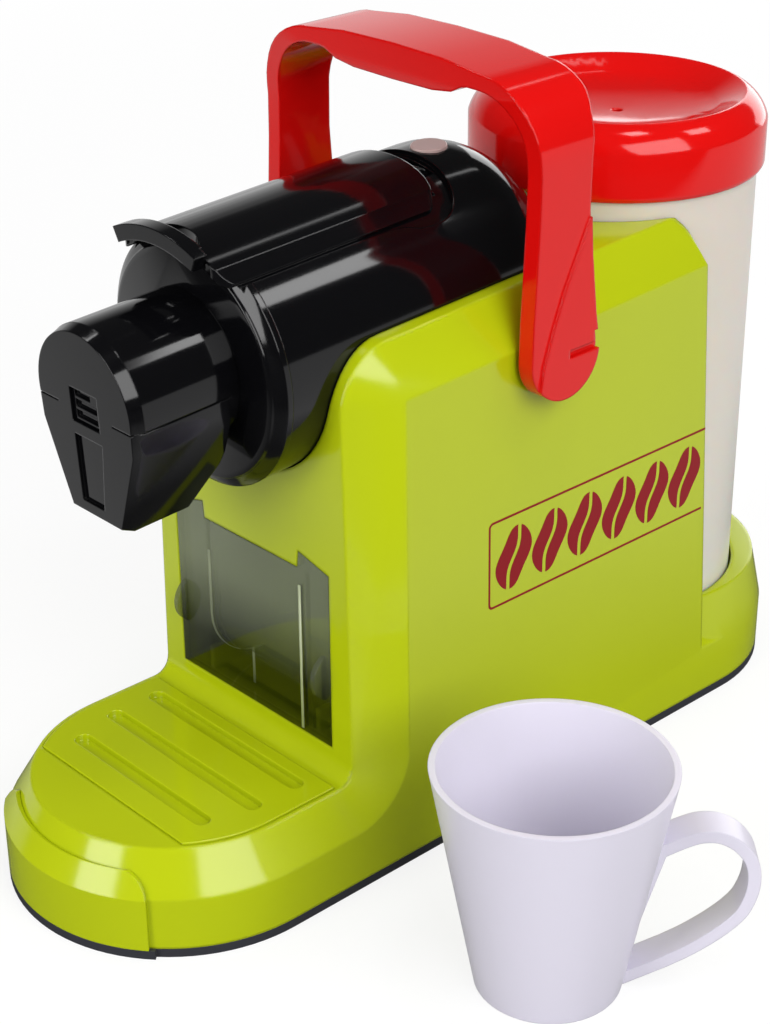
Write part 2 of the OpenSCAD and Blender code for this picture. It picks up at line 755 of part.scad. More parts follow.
// Front view of the nozzle's wedge, drawn in by t.
module wedge_face(t) {
    polygon([[-nozzle_r + 0.1 + t, -1.7], [-nozzle_r + 0.4 + t, -8.8], [-wedge_half + t, -wedge_z + t],
        [wedge_half - t, -wedge_z + t], [nozzle_r - 0.4 - t, -8.8], [nozzle_r - 0.1 - t, -1.7]]);
}

// Nozzle between y0 and y1: upper half of a round bar over the wedge.
module nozzle_bar(t, y0, y1) {
    intersection() {
        translate([0, 0, nozzle_up]) ycyl(y0, y1, nozzle_r - t, nozzle_r - t);
        translate([-30, y0 - 1, -1.8]) cube([60, y1 - y0 + 2, 40]);
    }
    translate([0, y1, 0]) rotate([90, 0, 0]) linear_extrude(y1 - y0) wedge_face(t);
}

module nozzle_form(t) {
    y0 = -nozzle_y;
    yr = y0 + 0.62 * nozzle_len - t;
    intersection() {
        union() {
            nozzle_bar(t, y0 + rim_len + t, -collar_y);
            // bevelled rim of the face
            intersection() {
                translate([0, 0, nozzle_up])
                    ycyl(y0 + t, y0 + rim_len + t + 0.1, nozzle_r - t - 1.1, nozzle_r - t);
                translate([-30, y0 - 1, -1.8]) cube([60, rim_len + 5, 40]);
            }
            hull() {
                translate([0, y0 + rim_len + t + 0.1, 0]) rotate([90, 0, 0]) linear_extrude(0.1) wedge_face(t);
                translate([0, y0 + t + 0.1, 0]) rotate([90, 0, 0]) linear_extrude(0.1) scale([0.945, 0.955])
                    wedge_face(t);
            }
        }
        union() {
            side_slab(30) polygon([[y0 - 1, 40], [y0 - 1, -wedge_z - 5], [yr, -wedge_z - 5],
                [yr, -wedge_z], [yr + 8, -wedge_z + 10.8], [yr + 9, -wedge_z + 14.3], [yr + 9, 40]]);
            translate([0, 0, nozzle_up]) ycyl(y0 + 10, -collar_y, nozzle_r - t, nozzle_r - t);
        }
    }
}

module nozzle_housing() {
    color(black) head_frame() difference() {
        nozzle_form(0);
        translate([0, 0.2, 0]) intersection() {
            nozzle_form(head_wall);
            translate([-50, -nozzle_y + 3.4, -60]) cube([100, nozzle_len - 3.2, 120]);
        }
        // recess of the louvred insert
        translate([-grille_w / 2 - 0.1, -nozzle_y - 1, -grille_h / 2 - 0.8])
            cube([grille_w + 0.2, 3.2, grille_h]);
        // shallow channel below it
        translate([0, -nozzle_y + 0.9, 0]) rotate([90, 0, 0]) linear_extrude(3)
            polygon([[-grille_w / 2, -9], [-grille_w / 2, -wedge_z + 4.4], [grille_w / 2 - 2, -wedge_z + 4.4],
                [grille_w / 2 + 0.4, -9]]);
        // seam of the two halves
        for (s = [-1, 1]) {
            translate([s * (nozzle_r + 4.4) - 5, -nozzle_y - 1, -2]) cube([10, nozzle_len - 2, 0.35]);
            translate([s * (nozzle_r - 1) - 10 + (s + 1), -nozzle_y - 1, -2]) cube([18, 1.6, 0.35]);
        }
        // hole of the spout
        translate([0, -nozzle_y + 8, -wedge_z - 5]) cylinder(r = spout_bore + 1.4, h = 12);
    }
}

module nozzle_grille() {
    color(black) head_frame() difference() {
        translate([-grille_w / 2, -nozzle_y + 0.7, -grille_h / 2 - 0.7]) cube([grille_w, 1.4, grille_h - 0.2]);
        for (i = [0:2]) translate([-grille_w / 2 + 1.2, -nozzle_y, -grille_h / 2 + 0.4 + i * 2.9])
            cube([grille_w - 2.4 - (i == 2 ? 2.4 : 0), 1.5, 2]);
    }
}

module spout() {
    color(black) head_frame() translate([0, -nozzle_y + 8, 0]) difference() {
        union() {
            translate([-5.3, -3.6, -wedge_z - 2.2]) cube([10.6, 7.6, 2.2]);
            translate([0, 0, -wedge_z - 0.1]) cylinder(r = spout_bore + 1.3, h = 6);
        }
        translate([0, 0, -wedge_z - 10]) cylinder(r = spout_bore, h = 40);
    }
}

module capsule_chute() {
    ox = chute_x / 2 + chute_t;
    oy = chute_y / 2 + chute_t;
    z0 = drawer_z + drawer_h + tab_h + 1 + 1.8;
    color(black) difference() {
        intersection() {
            translate([-ox, chute_yc - oy, z0]) cube([2 * ox, 2 * oy, 100]);
            union() {
                head_frame() ycyl(-90, 0, recess_r, recess_r);
                translate([-60, -80, 0]) cube([120, 80, head_z - 10]);
            }
        }
        translate([-chute_x / 2, chute_yc - chute_y / 2, z0 - 1]) cube([chute_x, chute_y, 120]);
    }
}

// Sector between angles -a and a over the barrel's axis, from y0 to y1.
module sector(a, y0, y1) {
    translate([0, y1, 0]) rotate([90, 0, 0]) linear_extrude(y1 - y0)
        polygon([[0, 0], 60 * [-sin(a), cos(a)], [0, 90], 60 * [sin(a), cos(a)]]);
}

module shell_piece(ri, ro, a, y0, y1) {
    intersection() {
        difference() {
            ycyl(y0, y1, ro, ro);
            ycyl(y0 - 1, y1 + 1, ri, ri);
        }
        sector(a, y0, y1);
    }
}

// Section of the lever's cover: a round top between two flat side faces.
module lever_section() {
    m = 16;
    re = lever_ri + 1;
    polygon(concat([[-re * sin(lever_a), re * cos(lever_a)]],
        [for (i = [0:m]) let (a = -shoulder_a + 2 * shoulder_a * i / m)
            [lever_ro * sin(a), lever_ro * cos(a)]],
        [[re * sin(lever_a), re * cos(lever_a)]],
        [for (i = [0:m]) let (a = lever_a - 2 * lever_a * i / m)
            [lever_ri * sin(a), lever_ri * cos(a)]]));
}

// Outline of the lever's cover, seen from above: rounded front corners and a bowed rear edge.
module lever_plan(y0, y1) {
    x = (lever_ri + 1) * sin(lever_a);
    half = concat([[0, y0]],
        [for (i = [0:8]) let (a = 90 * i / 8) [x + 0.4 - 5.4 + 5.4 * sin(a), y0 + 6.5 - 6.5 * cos(a)]],
        [[x + 0.4, y1 - 7.5], [x - 0.1, y1 - 4.8], [x - 1.4, y1 - 3.1], [x - 3.5, y1 - 1.7],
            [x - 6.4, y1 - 0.7], [x - 10.5, y1 - 0.1], [0, y1]]);
    polygon(half);
    mirror([1, 0]) polygon(half);
}

module lever() {
    y0 = -pin_y - lever_len;
    y1 = -pin_y + 0.8;
    color(black) head_frame() difference() {
        union() {
            difference() {
                intersection() {
                    translate([0, 0, 0]) rotate([90, 0, 0]) linear_extrude(100) lever_section();
                    linear_extrude(60) lever_plan(y0, y1);
                }
                // relief under the rear edge, where the cover dips as it opens
                difference() {
                    for (a = [12:13:51]) translate([0, -pin_y, pin_z]) rotate([a, 0, 0])
                        translate([0, pin_y, -pin_z]) ycyl(-60, 30, lever_ri, lever_ri);
                    translate([-9.8, -100, 0]) cube([19.6, 200, 100]);
                }
            }
            // lip
            shell_piece(lever_ri + 1.1, lever_ro + 2.5, lip_a, y0 - lip_t, y0 + 0.3);
            // knuckle
            intersection() {
                union() {
                    translate([-9.8, -pin_y, pin_z]) rotate([0, 90, 0]) cylinder(r = knuckle_r, h = 19.6);
                    translate([-9.8, -pin_y - knuckle_r, pin_z]) cube([19.6, knuckle_r + 0.8, 20]);
                }
                ycyl(-20, 10, lever_ro - 0.5, lever_ro - 0.5);
            }
        }
        // finger hole behind the lip
        intersection() {
            shell_piece(lever_ri - 1, lever_ro + 9, hollow_a, y0 + 1.4, y0 + 6);
            translate([0, y0 + 1.4, 0]) scale([lever_ro * sin(hollow_a), 4.4, 1]) cylinder(r = 1, h = 60);
        }
        // slits at the ends of the lip
        for (s = [-1, 1]) translate([s * lever_ro * sin(lip_a) - 1.5, y0 - 0.3, 20]) cube([3, 0.8, 30]);
        translate([-12, -pin_y, pin_z]) rotate([0, 90, 0]) cylinder(r = pin_r + run_gap, h = 24);
    }
}

module lever_pin() {
    color("silver") head_frame() translate([-15, -pin_y, pin_z]) rotate([0, 90, 0])
        cylinder(r = pin_r, h = 30);
}

module start_button() {
    zb = switch_z + button_travel + 0.4;
    color("#b49c98") head_frame() translate([0, button_y, 0]) {
        translate([0, 0, zb]) cylinder(r = button_r, h = barrel_r + button_up - zb);
        translate([0, 0, zb]) cylinder(r = button_r + 1.2, h = 1);
    }
}

module start_switch() {
    color("#1f6a46") head_frame() translate([0, button_y, switch_z]) {
        translate([-7.2, -7.2, -3]) cube([14.4, 14.4, 1.4]);
        translate([-3, -3, -1.7]) cube([6, 6, 1.7]);
    }
}

// ---------- handle ----------

module pivot_pegs() {
    color(lime) translate([0, pivot_y, pivot_z]) for (s = [-1, 1]) scale([s, 1, 1]) {
        translate([peg_x, 0, 0]) rotate([0, 90, 0]) cylinder(r = peg_r, h = leg_in - peg_x + peg_in - 0.3);
        translate([peg_x, 0, 0]) rotate([0, 90, 0]) cylinder(r = peg_r + 2, h = 2);
    }
}

// Front view of the strap: two legs, round corners and the arched bar.
module strap_front() {
    zt = pivot_z + handle_h - 2;
    zc = zt - corner_r;
    n = 10;
    out = concat([[leg_out, pivot_z - 20], [leg_out, zc]],
        [for (i = [1:n]) let (a = 90 * i / n)
            [leg_out - corner_r + corner_r * cos(a), zc + corner_r * sin(a)]],
        [[leg_out - corner_r - 14, zt + 1.6], [0, zt + 2]]);
    ri = corner_r - strap_t + 0.8;
    zi = zt - strap_t + 0.8;
    inn = concat([[0, zi - grip_t], [15, zi - grip_t + 0.2], [22, zi - grip_t + 1.2], [26, zi - 0.4],
        [28, zi]],
        [for (i = [0:n]) let (a = 90 - 90 * i / n)
            [leg_in - ri + ri * cos(a), zi - ri + ri * sin(a)]],
        [[leg_in, pivot_z - 20]]);
    half = concat(out, inn);
    polygon(half);
    mirror([1, 0]) polygon(half);
}

// Side view of the handle: round pivot end, waist and wider bar.
module strap_side() {
    zt = pivot_z + handle_h + 2;
    translate([pivot_y, pivot_z]) circle(pivot_r);
    polygon([[pivot_y - pivot_r, pivot_z], [pivot_y + pivot_r, pivot_z],
        [pivot_y + 10.8, pivot_z + 9], [pivot_y + 8.6, pivot_z + 26], [pivot_y + 7.7, pivot_z + 38],
        [pivot_y + 7.9, pivot_z + 52], [pivot_y + 9.4, pivot_z + 62], [pivot_y + 11.6, pivot_z + 68],
        [pivot_y + 11.6, zt], [pivot_y - 12.6, zt], [pivot_y - 12.6, pivot_z + 68],
        [pivot_y - 11.4, pivot_z + 60], [pivot_y - 10.6, pivot_z + 50], [pivot_y - 10.8, pivot_z + 38],
        [pivot_y - 11.4, pivot_z + 26], [pivot_y - 12.2, pivot_z + 10]]);
}

module carry_handle() {
    color(red) difference() {
        union() {
            intersection() {
                translate([0, 40, 0]) rotate([90, 0, 0]) linear_extrude(80) strap_front();
                side_slab(70) strap_side();
            }
            // raised pads on the outer faces of the legs
            for (s = [-1, 1]) intersection() {
                side_slab(70) intersection() {
                    strap_side();
                    polygon([[pivot_y + 8.2, pivot_z + 37], [pivot_y + 2.6, pivot_z + 26],
                        [pivot_y - 1.6, pivot_z + 17.6], [pivot_y - 5.4, pivot_z + 8],
                        [pivot_y - 8.4, pivot_z - 1], [pivot_y - 9.6, pivot_z - 8],
                        [pivot_y, pivot_z - 30], [pivot_y + 30, pivot_z - 20], [pivot_y + 30, pivot_z + 37]]);
                }
                translate([s * leg_out - 0.7, -60, 100]) cube([1.4, 120, 120]);
            }
        }
        // slot and notch of the pivot ends
        for (s = [-1, 1]) translate([s * (leg_out + 0.7) - 1.4, pivot_y + 1, pivot_z - 1.1])
            cube([2.8, 20, 2.2]);
        for (s = [-1, 1]) translate([s * (leg_out + 1) - 1.7, pivot_y + 10.4, pivot_z - 1.1])
            cube([3.4, 20, 5.4]);
        // blind bores of the pivot pegs
        translate([0, pivot_y, pivot_z]) rotate([0, 90, 0])
            cylinder(r = peg_r + run_gap, h = 2 * (leg_in + peg_in), center = true);
    }
}

// ---------- tank ----------

module tank_socket() {
    zb = seat_z - socket_h;
    color(dark) translate([0, tank_y, 0]) difference() {
        union() {
            translate([0, 0, zb]) cylinder(r = socket_r, h = seat_z - zb);
            translate([0, 0, seat_z - wall - 2.2]) cylinder(r = socket_r + 3.4, h = 2);
            translate([0, -socket_r - 5, zb + 3]) rotate([-90, 0, 0]) cylinder(r = 2.1, h = 8);
        }
        difference() {
            translate([0, 0, zb + 2]) cylinder(r = boss_tank_r + 0.4, h = 20);
            translate([0, 0, zb]) cylinder(r = 1.6, h = 4.1);
        }
        translate([0, -socket_r - 6, zb + 3]) rotate([-90, 0, 0]) cylinder(r = 1.3, h = 9);
    }
}

module socket_seal() {
    zb = seat_z - socket_h + 2;
    color("#a33") translate([0, tank_y, zb]) difference() {
        cylinder(r = boss_tank_r + 0.3, h = 1.9);
        translate([0, 0, -1]) cylinder(r = 5.4, h = 4);
        translate([-9, -9.5, -1]) cube([18, 6, 4]);
    }
}

module water_tank() {
    color("#e4ddd6") translate([0, tank_y, 0]) difference() {
        union() {
            translate([0, 0, seat_z]) cylinder(r = tank_r, h = tank_h);
            translate([0, 0, seat_z - boss_tank_h]) cylinder(r = boss_tank_r, h = boss_tank_h + 1);
        }
        translate([0, 0, seat_z + 2]) cylinder(r = tank_r - tank_wall, h = tank_h);
        translate([0, 0, seat_z - 20]) cylinder(r = valve_r + run_gap, h = 40);
    }
}

module tank_valve() {
    color(dark) translate([0, tank_y, 0]) {
        translate([0, 0, seat_z + 2]) cylinder(r = valve_r + 2.4, h = 2);
        translate([0, 0, seat_z - boss_tank_h + 0.6]) cylinder(r = valve_r, h = boss_tank_h + 2);
        translate([0, 0, seat_z + 3.9]) cylinder(r1 = valve_r, r2 = valve_r - 1.5, h = 3);
    }
}

module tank_lid() {
    ri = tank_r + fit_gap;
    ro = ri + lid_wall;
    zt = lid_h;
    n = 8;
    color(red) translate([0, tank_y, tank_top]) rotate_extrude() polygon(concat(
        [[vent_r, zt - dish_deep - 4.4], [vent_r, zt - dish_deep - 2.7],
            [0.42 * dish_r, zt - dish_deep - 2.4], [0.76 * dish_r, zt - dish_deep - 1.3],
            [dish_r - 0.6, zt - dish_deep], [dish_r + 0.8, zt - dish_deep + 0.9],
            [lid_ring - 1.4, zt - 0.5], [lid_ring, zt]],
        [for (i = [1:n]) let (a = 90 * i / n, e = 0.45)
            [lid_ring + (ro - lid_ring) * (e * i / n + (1 - e) * sin(a)),
                1.5 + (zt - 1.5) * (e * (1 - i / n) + (1 - e) * cos(a))]],
        [[ro, -lid_skirt + 1.2], [ro - 0.7, -lid_skirt], [ri, -lid_skirt], [ri, 0],
            [tank_r - tank_wall - 0.3, 0], [tank_r - tank_wall - 0.3, -3], [tank_r - tank_wall - 1.8, -3],
            [tank_r - tank_wall - 2.4, 3], [lid_ring, zt - 2.2], [lid_ring - 2.6, zt - 3.6],
            [dish_r + 1, zt - dish_deep - 1.6], [0.5 * dish_r, zt - dish_deep - 3.8]]));
}

// ---------- pump and hoses ----------

module pump_motor() {
    color("silver") difference() {
        union() {
            ycyl2(motor_y0, motor_y0 + motor_len, motor_r);
            ycyl2(motor_y0 - 1.6, motor_y0 + 1, 3.4);
        }
        ycyl2(motor_y0 - 4, motor_y0 + motor_len + 2, 1 + run_gap);
    }
}

module pump_housing() {
    color(dark) difference() {
        union() {
            ycyl2(pump_y0, pump_y0 + pump_len, pump_r);
            translate([pump_r - 4, pump_y0 + 6, motor_z]) cylinder(r = 2.2, h = pump_r + 5);
        }
        ycyl2(pump_y0 + pump_wall, pump_y0 + pump_len + 1, pump_r - pump_wall);
        ycyl2(pump_y0 - 1, pump_y0 + 3, 1 + run_gap);
        translate([pump_r - 4, pump_y0 + 6, motor_z]) cylinder(r = 1.3, h = pump_r + 6);
    }
}

module pump_cover() {
    y = pump_y0 + pump_len;
    color(dark) difference() {
        union() {
            ycyl2(y, y + 2, pump_r);
            ycyl2(y, y + 6, 2.2);
        }
        ycyl2(y - 1, y + 8, 1.3);
    }
}

module pump_rotor() {
    y = pump_y0 + pump_wall + 1;
    color("white") {
        ycyl2(motor_y0 - 2.6, y + 6, 1);
        ycyl2(y, y + 1.6, 9);
        translate([0, y + 1.4, motor_z]) rotate([-90, 0, 0]) for (i = [0:4])
            rotate([0, 0, 72 * i]) translate([1, -0.6, 0]) cube([8, 1.2, 5]);
    }
}

// Points of a smooth line through the route's points, m steps in each stretch.
function smooth(p, m) = [for (i = [0:len(p) - 2]) for (j = [0:m - 1])
    let (t = j / m, a = p[max(i - 1, 0)], b = p[i], c = p[i + 1], d = p[min(i + 2, len(p) - 1)])
    0.5 * (2 * b + (c - a) * t + (2 * a - 5 * b + 4 * c - d) * t * t
        + (3 * b - a - 3 * c + d) * t * t * t)];
function unit(v) = v / norm(v);

// One closed tube of n sides along the line p, with rings square to the line.
module tube(p, r, n) {
    m = len(p);
    dir = [for (i = [0:m - 1]) unit(p[min(i + 1, m - 1)] - p[max(i - 1, 0)])];
    pts = [for (i = [0:m - 1]) let (
            u = unit(cross(dir[i], abs(dir[i][0]) > 0.8 ? [0, 1, 0] : [1, 0, 0])),
            w = cross(dir[i], u))
        for (j = [0:n - 1]) p[i] + r * (cos(360 * j / n) * u + sin(360 * j / n) * w)];
    polyhedron(pts, concat(
        [[for (j = [0:n - 1]) j]],
        [for (i = [0:m - 2]) for (j = [0:n - 1]) let (k = (j + 1) % n)
            [i * n + j, (i + 1) * n + j, i * n + k]],
        [for (i = [0:m - 2]) for (j = [0:n - 1]) let (k = (j + 1) % n)
            [i * n + k, (i + 1) * n + j, (i + 1) * n + k]],
        [[for (j = [0:n - 1]) (m - 1) * n + n - 1 - j]]));
}

suction_from = [0, tank_y - socket_r - 5.3, seat_z - socket_h + 3];
suction_to = [0, pump_y0 + pump_len + 6.3, motor_z];
suction_route = [suction_from, suction_from + [0, -5, 0], (suction_from + suction_to) / 2 + [0, 0, 0],
    suction_to + [0, 5, 0], suction_to];
module suction_hose() {
    color("#b9b3a8") tube(concat(smooth(suction_route, 4), [suction_to]), hose_r, 8);
}

hose_x = pump_r - 4;
function head_point(x, y, z) = [x, y * cos(head_tilt) - z * sin(head_tilt),
    head_z + y * sin(head_tilt) + z * cos(head_tilt)];
spout_z = -wedge_z + 5.9;
delivery_route = [[hose_x, pump_y0 + 6, motor_z + pump_r + 5.4], [hose_x, pump_y0 + 6, motor_z + pump_r + 14],
    [16, 18, 70], [22, 12, 100], [22, 12, 126], [21, 2, 143], [22, -14, 146], [22, -50, 144], [20, -66, 144],
    [14, -72, 145.1], [13, -79, 144.7], [6, -92, 142], head_point(0.8, -nozzle_y + 9, -10),
    head_point(0, -nozzle_y + 8, spout_z + 6), head_point(0, -nozzle_y + 8, spout_z + 0.3)];
module delivery_hose() {
    last = delivery_route[len(delivery_route) - 1];
    color("#b9b3a8") tube(concat(smooth(delivery_route, 4), [last]), hose_r, 8);
}

// ---------- cup ----------

// Side view of the cup's strap handle, outer line first.
handle_out = [[26.5, 43.2], [33, 46.6], [38.2, 47.9], [44.3, 46.7], [50.2, 41.4], [52.6, 34],
    [51.3, 25], [47.4, 18.4], [38, 10.6], [30, 6], [19.2, 0.6]];
module toy_cup() {
    s = (cup_rt - cup_rb) / cup_h;
    color("#dad6e4") translate([cup_x, -cup_y, 0]) difference() {
        union() {
            cylinder(r1 = cup_rb, r2 = cup_rt, h = cup_h);
            rotate([0, 0, 47.5]) difference() {
                translate([0, cup_strap_w / 2, 0]) rotate([90, 0, 0]) linear_extrude(cup_strap_w)
                    difference() {
                        polygon(concat(handle_out, [[16, 0.6], [16, 43]]));
                        polygon([for (i = [0:len(handle_out) - 1]) let (
                                a = handle_out[max(i - 1, 0)],
                                b = handle_out[min(i + 1, len(handle_out) - 1)],
                                d = unit(b - a))
                            handle_out[i] + cup_strap_t * [d[1], -d[0]]]);
                    }
            }
        }
        translate([0, 0, 2]) cylinder(r1 = cup_rb - cup_wall + 2 * s, r2 = cup_rt - cup_wall,
            h = cup_h - 2 + 0.01);
        translate([0, 0, -1]) cylinder(r = cup_rb - 3, h = 1.8);
    }
}

body_shell();
base_plate();
front_bezel();
drip_tray();
battery_door();
battery_door_screw();
battery_1();
battery_2();
battery_3();
battery_contacts();
housing_screws();
drawer_liner();
capsule_drawer();
head_barrel();
collar_ring();
nozzle_housing();
nozzle_grille();
spout();
capsule_chute();
lever();
lever_pin();
start_button();
start_switch();
pivot_pegs();
carry_handle();
tank_socket();
socket_seal();
water_tank();
tank_valve();
tank_lid();
pump_motor();
pump_housing();
pump_cover();
pump_rotor();
suction_hose();
delivery_hose();
toy_cup();
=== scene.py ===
"""Looks of the toy coffee maker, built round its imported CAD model."""

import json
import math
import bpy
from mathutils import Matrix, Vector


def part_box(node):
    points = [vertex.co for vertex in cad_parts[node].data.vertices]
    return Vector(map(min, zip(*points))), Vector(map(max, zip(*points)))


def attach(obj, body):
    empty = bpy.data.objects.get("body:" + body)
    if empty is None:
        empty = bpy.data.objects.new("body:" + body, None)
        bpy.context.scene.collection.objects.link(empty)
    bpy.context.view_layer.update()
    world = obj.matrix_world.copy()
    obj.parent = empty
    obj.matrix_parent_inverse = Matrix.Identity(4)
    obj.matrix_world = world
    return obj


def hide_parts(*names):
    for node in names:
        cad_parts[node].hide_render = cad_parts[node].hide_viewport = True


bl_info = {
    "name": "Toy coffee maker",
    "version": (1, 0, 0),
    "blender": (4, 5, 0),
    "location": "3D View > Sidebar > Coffee maker",
    "description": "Moulds, finishes and lights the parts of a toy coffee maker",
    "category": "Object",
}

import bmesh
import bpy
from bpy.props import FloatProperty, FloatVectorProperty, IntProperty, PointerProperty
from mathutils import Matrix, Vector

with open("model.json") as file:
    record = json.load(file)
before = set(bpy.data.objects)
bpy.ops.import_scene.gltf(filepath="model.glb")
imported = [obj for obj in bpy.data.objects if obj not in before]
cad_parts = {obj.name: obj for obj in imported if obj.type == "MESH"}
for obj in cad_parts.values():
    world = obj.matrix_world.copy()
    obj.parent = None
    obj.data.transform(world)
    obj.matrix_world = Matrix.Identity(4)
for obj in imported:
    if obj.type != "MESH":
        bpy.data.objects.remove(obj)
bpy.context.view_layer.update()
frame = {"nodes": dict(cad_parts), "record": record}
NODES = frame["nodes"]
MM = 0.001


def linear(code):
    """Linear RGBA of an sRGB colour such as '#B3C10E'."""
    values = [int(code[i : i + 2], 16) / 255 for i in (1, 3, 5)]
    return [v / 12.92 if v <= 0.04045 else ((v + 0.055) / 1.055) ** 2.4 for v in values] + [1.0]


# ---------- settings ----------


def colour_setting(name, description, code):
    return FloatVectorProperty(
        name=name, description=description, default=linear(code), size=4, min=0.0, max=1.0,
        subtype="COLOR",
    )


def length_setting(name, description, millimetres, low=0.05, high=10.0):
    return FloatProperty(
        name=name, description=description, default=millimetres * MM, min=low * MM, max=high * MM,
        unit="LENGTH", precision=5,
    )


def share_setting(name, description, share):
    return FloatProperty(name=name, description=description, default=share, min=0.0, max=1.0)


def power_setting(name, description, watts):
    return FloatProperty(name=name, description=description, default=watts, min=0.0, unit="POWER")


class ToyColours(bpy.types.PropertyGroup):
    lime: colour_setting("Lime", "Colour of the housing, bezel and tray", "#B3C10E")
    black: colour_setting("Black", "Colour of the head, nozzle and lever", "#08080A")
    red: colour_setting("Red", "Colour of the lid and the carry handle", "#D80D0B")
    smoke: colour_setting("Smoke", "Tint of the clear capsule drawer", "#868E70")
    milky: colour_setting("Milky", "Upper shade of the water tank", "#D9CFC4")
    cup: colour_setting("Cup", "Colour of the play cup", "#DCD8E6")
    ink: colour_setting("Ink", "Colour of the printing on the side panel", "#8C0E19")


class EdgeRounding(bpy.types.PropertyGroup):
    housing: length_setting("Lime mouldings", "Rounding of the lime mouldings' edges", 1.4)
    head: length_setting("Black mouldings", "Rounding of the black mouldings' edges", 0.5)
    handle: length_setting("Red mouldings", "Rounding in the finish of lid and handle", 0.9)
    lid: length_setting("Lid and tank", "Width of the lid's and tank's cut edges", 0.4)
    cup: length_setting("Cup", "Rounding of the cup's rim and handle", 0.5)


class PanelPrint(bpy.types.PropertyGroup):
    low: length_setting("Lower line", "Height of the frame's lower line", 68.0, 20, 120)
    high: length_setting("Upper line", "Height of the frame's upper line", 94.5, 40, 140)
    front: length_setting("Front line", "Front line's distance from the middle", 16.5, 5, 50)
    rear: length_setting("Rear end", "Rear ends' distance from the middle", 73.6, 30, 74)
    line: length_setting("Line width", "Width of the frame's printed line", 0.7, 0.3, 2)
    corner: length_setting("Corner", "Radius of the frame's two corners", 1.6, 0.2, 6)
    front_gap: length_setting("Front gap", "Room between front line and beans", 2.6)
    rear_gap: length_setting("Rear gap", "Room between beans and rear end", 2.2)
    beans: IntProperty(name="Beans", description="Number of beans", default=6, min=1, max=9)
    bean_length: length_setting("Bean length", "Length of one printed coffee bean", 19.0, 8, 24)
    bean_width: length_setting("Bean width", "Width of one printed coffee bean", 11.8, 6, 16)
    slit: share_setting("Slit", "Width of a bean's slit, as a share of the bean's width", 0.11)
    swing: share_setting("Slit swing", "Swing of the slit, as a share of the bean's width", 0.09)
    lean: FloatProperty(
        name="Lean", description="Lean of the beans to the rear", default=math.radians(14),
        unit="ROTATION",
    )
    ink: length_setting("Ink", "Height of the ink over the panel", 0.06, 0.01, 0.5)


# Sizes of the pale lines of painted highlight on the drawer, and the width of its cut edges.
class DrawerLines(bpy.types.PropertyGroup):
    edge: length_setting("Drawer edges", "Width of the drawer's cut edges", 0.25)
    width: length_setting("Line width", "Width of a pale line", 0.9, 0.3, 2)
    thickness: length_setting("Line thickness", "Thickness of a pale line", 0.25)
    depth: length_setting("Depth", "Distance of the far line from the drawer's front", 5.2, 1, 15)
    side: length_setting("Side", "Distance of the far line from the middle", 20.3, 5, 24)
    floor: length_setting("Floor", "Height of the bin's floor over the underside", 2.0, 0.5, 5)
    scoop: length_setting("Scoop", "Radius of the bin's rounded floor", 18.0, 5, 30)
    rise: length_setting("Rise", "Length of the far line above the scoop", 20.0, 5, 40)


class StudioLight(bpy.types.PropertyGroup):
    window: power_setting("Window", "Power of the small bright lamp", 0.7)
    side: power_setting("Side", "Power of the large side lamp", 12.4)
    front: power_setting("Front", "Power of the large front lamp", 9.0)
    top: power_setting("Top", "Power of the lamps overhead", 3.4)
    back: power_setting("Back", "Power of the low lamp behind", 4.5)
    fill: share_setting("Room light", "Level of the light from all round", 0.40)


SETTINGS = {
    "toy_colours": ToyColours,
    "edge_rounding": EdgeRounding,
    "panel_print": PanelPrint,
    "drawer_lines": DrawerLines,
    "studio_light": StudioLight,
}


# ---------- shader helpers ----------

# Numbers of a Mix node's A, B and Result sockets.
MIX_SOCKETS = {"FLOAT": (2, 3, 0), "RGBA": (6, 7, 2)}


def add(tree, kind, settings=None, **links):
    """Adds a node with its settings. A link's name is the socket's, with _ for a space."""
    node = tree.nodes.new(kind)
    for key, value in (settings or {}).items():
        if key in node.inputs:
            node.inputs[key].default_value = value
        else:
            setattr(node, key, value)
    for key, source in links.items():
        tree.links.new(source, node.inputs[key.replace("_", " ")])
    return node


def feed(tree, source, socket):
    """Links another node's socket to this one, or sets this one to a value."""
    if isinstance(source, bpy.types.NodeSocket):
        tree.links.new(source, socket)
    else:
        socket.default_value = source


def combined(tree, operation, first, second):
    """The result of a sum, product or other operation on two numbers."""
    node = add(tree, "ShaderNodeMath", {"operation": operation})
    feed(tree, first, node.inputs[0])
    feed(tree, second, node.inputs[1])
    return node.outputs["Value"]


def mixed(tree, kind, factor, first, second):
    """The result of a mix of two numbers or colours: the first one at factor 0."""
    node = add(tree, "ShaderNodeMix", {"data_type": kind}, Factor=factor)
    a, b, result = MIX_SOCKETS[kind]
    feed(tree, first, node.inputs[a])
    feed(tree, second, node.inputs[b])
    return node.outputs[result]


def ranged(tree, value, low, high, at_low=0.0, at_high=1.0):
    """The value, with low to high turned into at_low to at_high and held there beyond both ends."""
    ends = {"From Min": low, "From Max": high, "To Min": at_low, "To Max": at_high}
    return add(tree, "ShaderNodeMapRange", ends, Value=value).outputs["Result"]


def reach(tree, place, direction):
    """How far a place lies in a direction."""
    node = add(tree, "ShaderNodeVectorMath", {"operation": "DOT_PRODUCT"})
    feed(tree, place, node.inputs[0])
    feed(tree, direction, node.inputs[1])
    return node.outputs["Value"]


def noise(tree, place, size_mm, detail):
    """A noise with spots of about the given size."""
    scale = 1 / (size_mm * MM)
    node = add(tree, "ShaderNodeTexNoise", {"Scale": scale, "Detail": detail}, Vector=place)
    return node.outputs["Fac"]


# ---------- finishes ----------

WEAR_MM = 9
GLOSS_SPREAD = 0.15
PEEL_HEIGHT = 0.1 * MM
EDGE_SAMPLES = 6
INSERT_SHARE = 0.25
FINISHES = {}


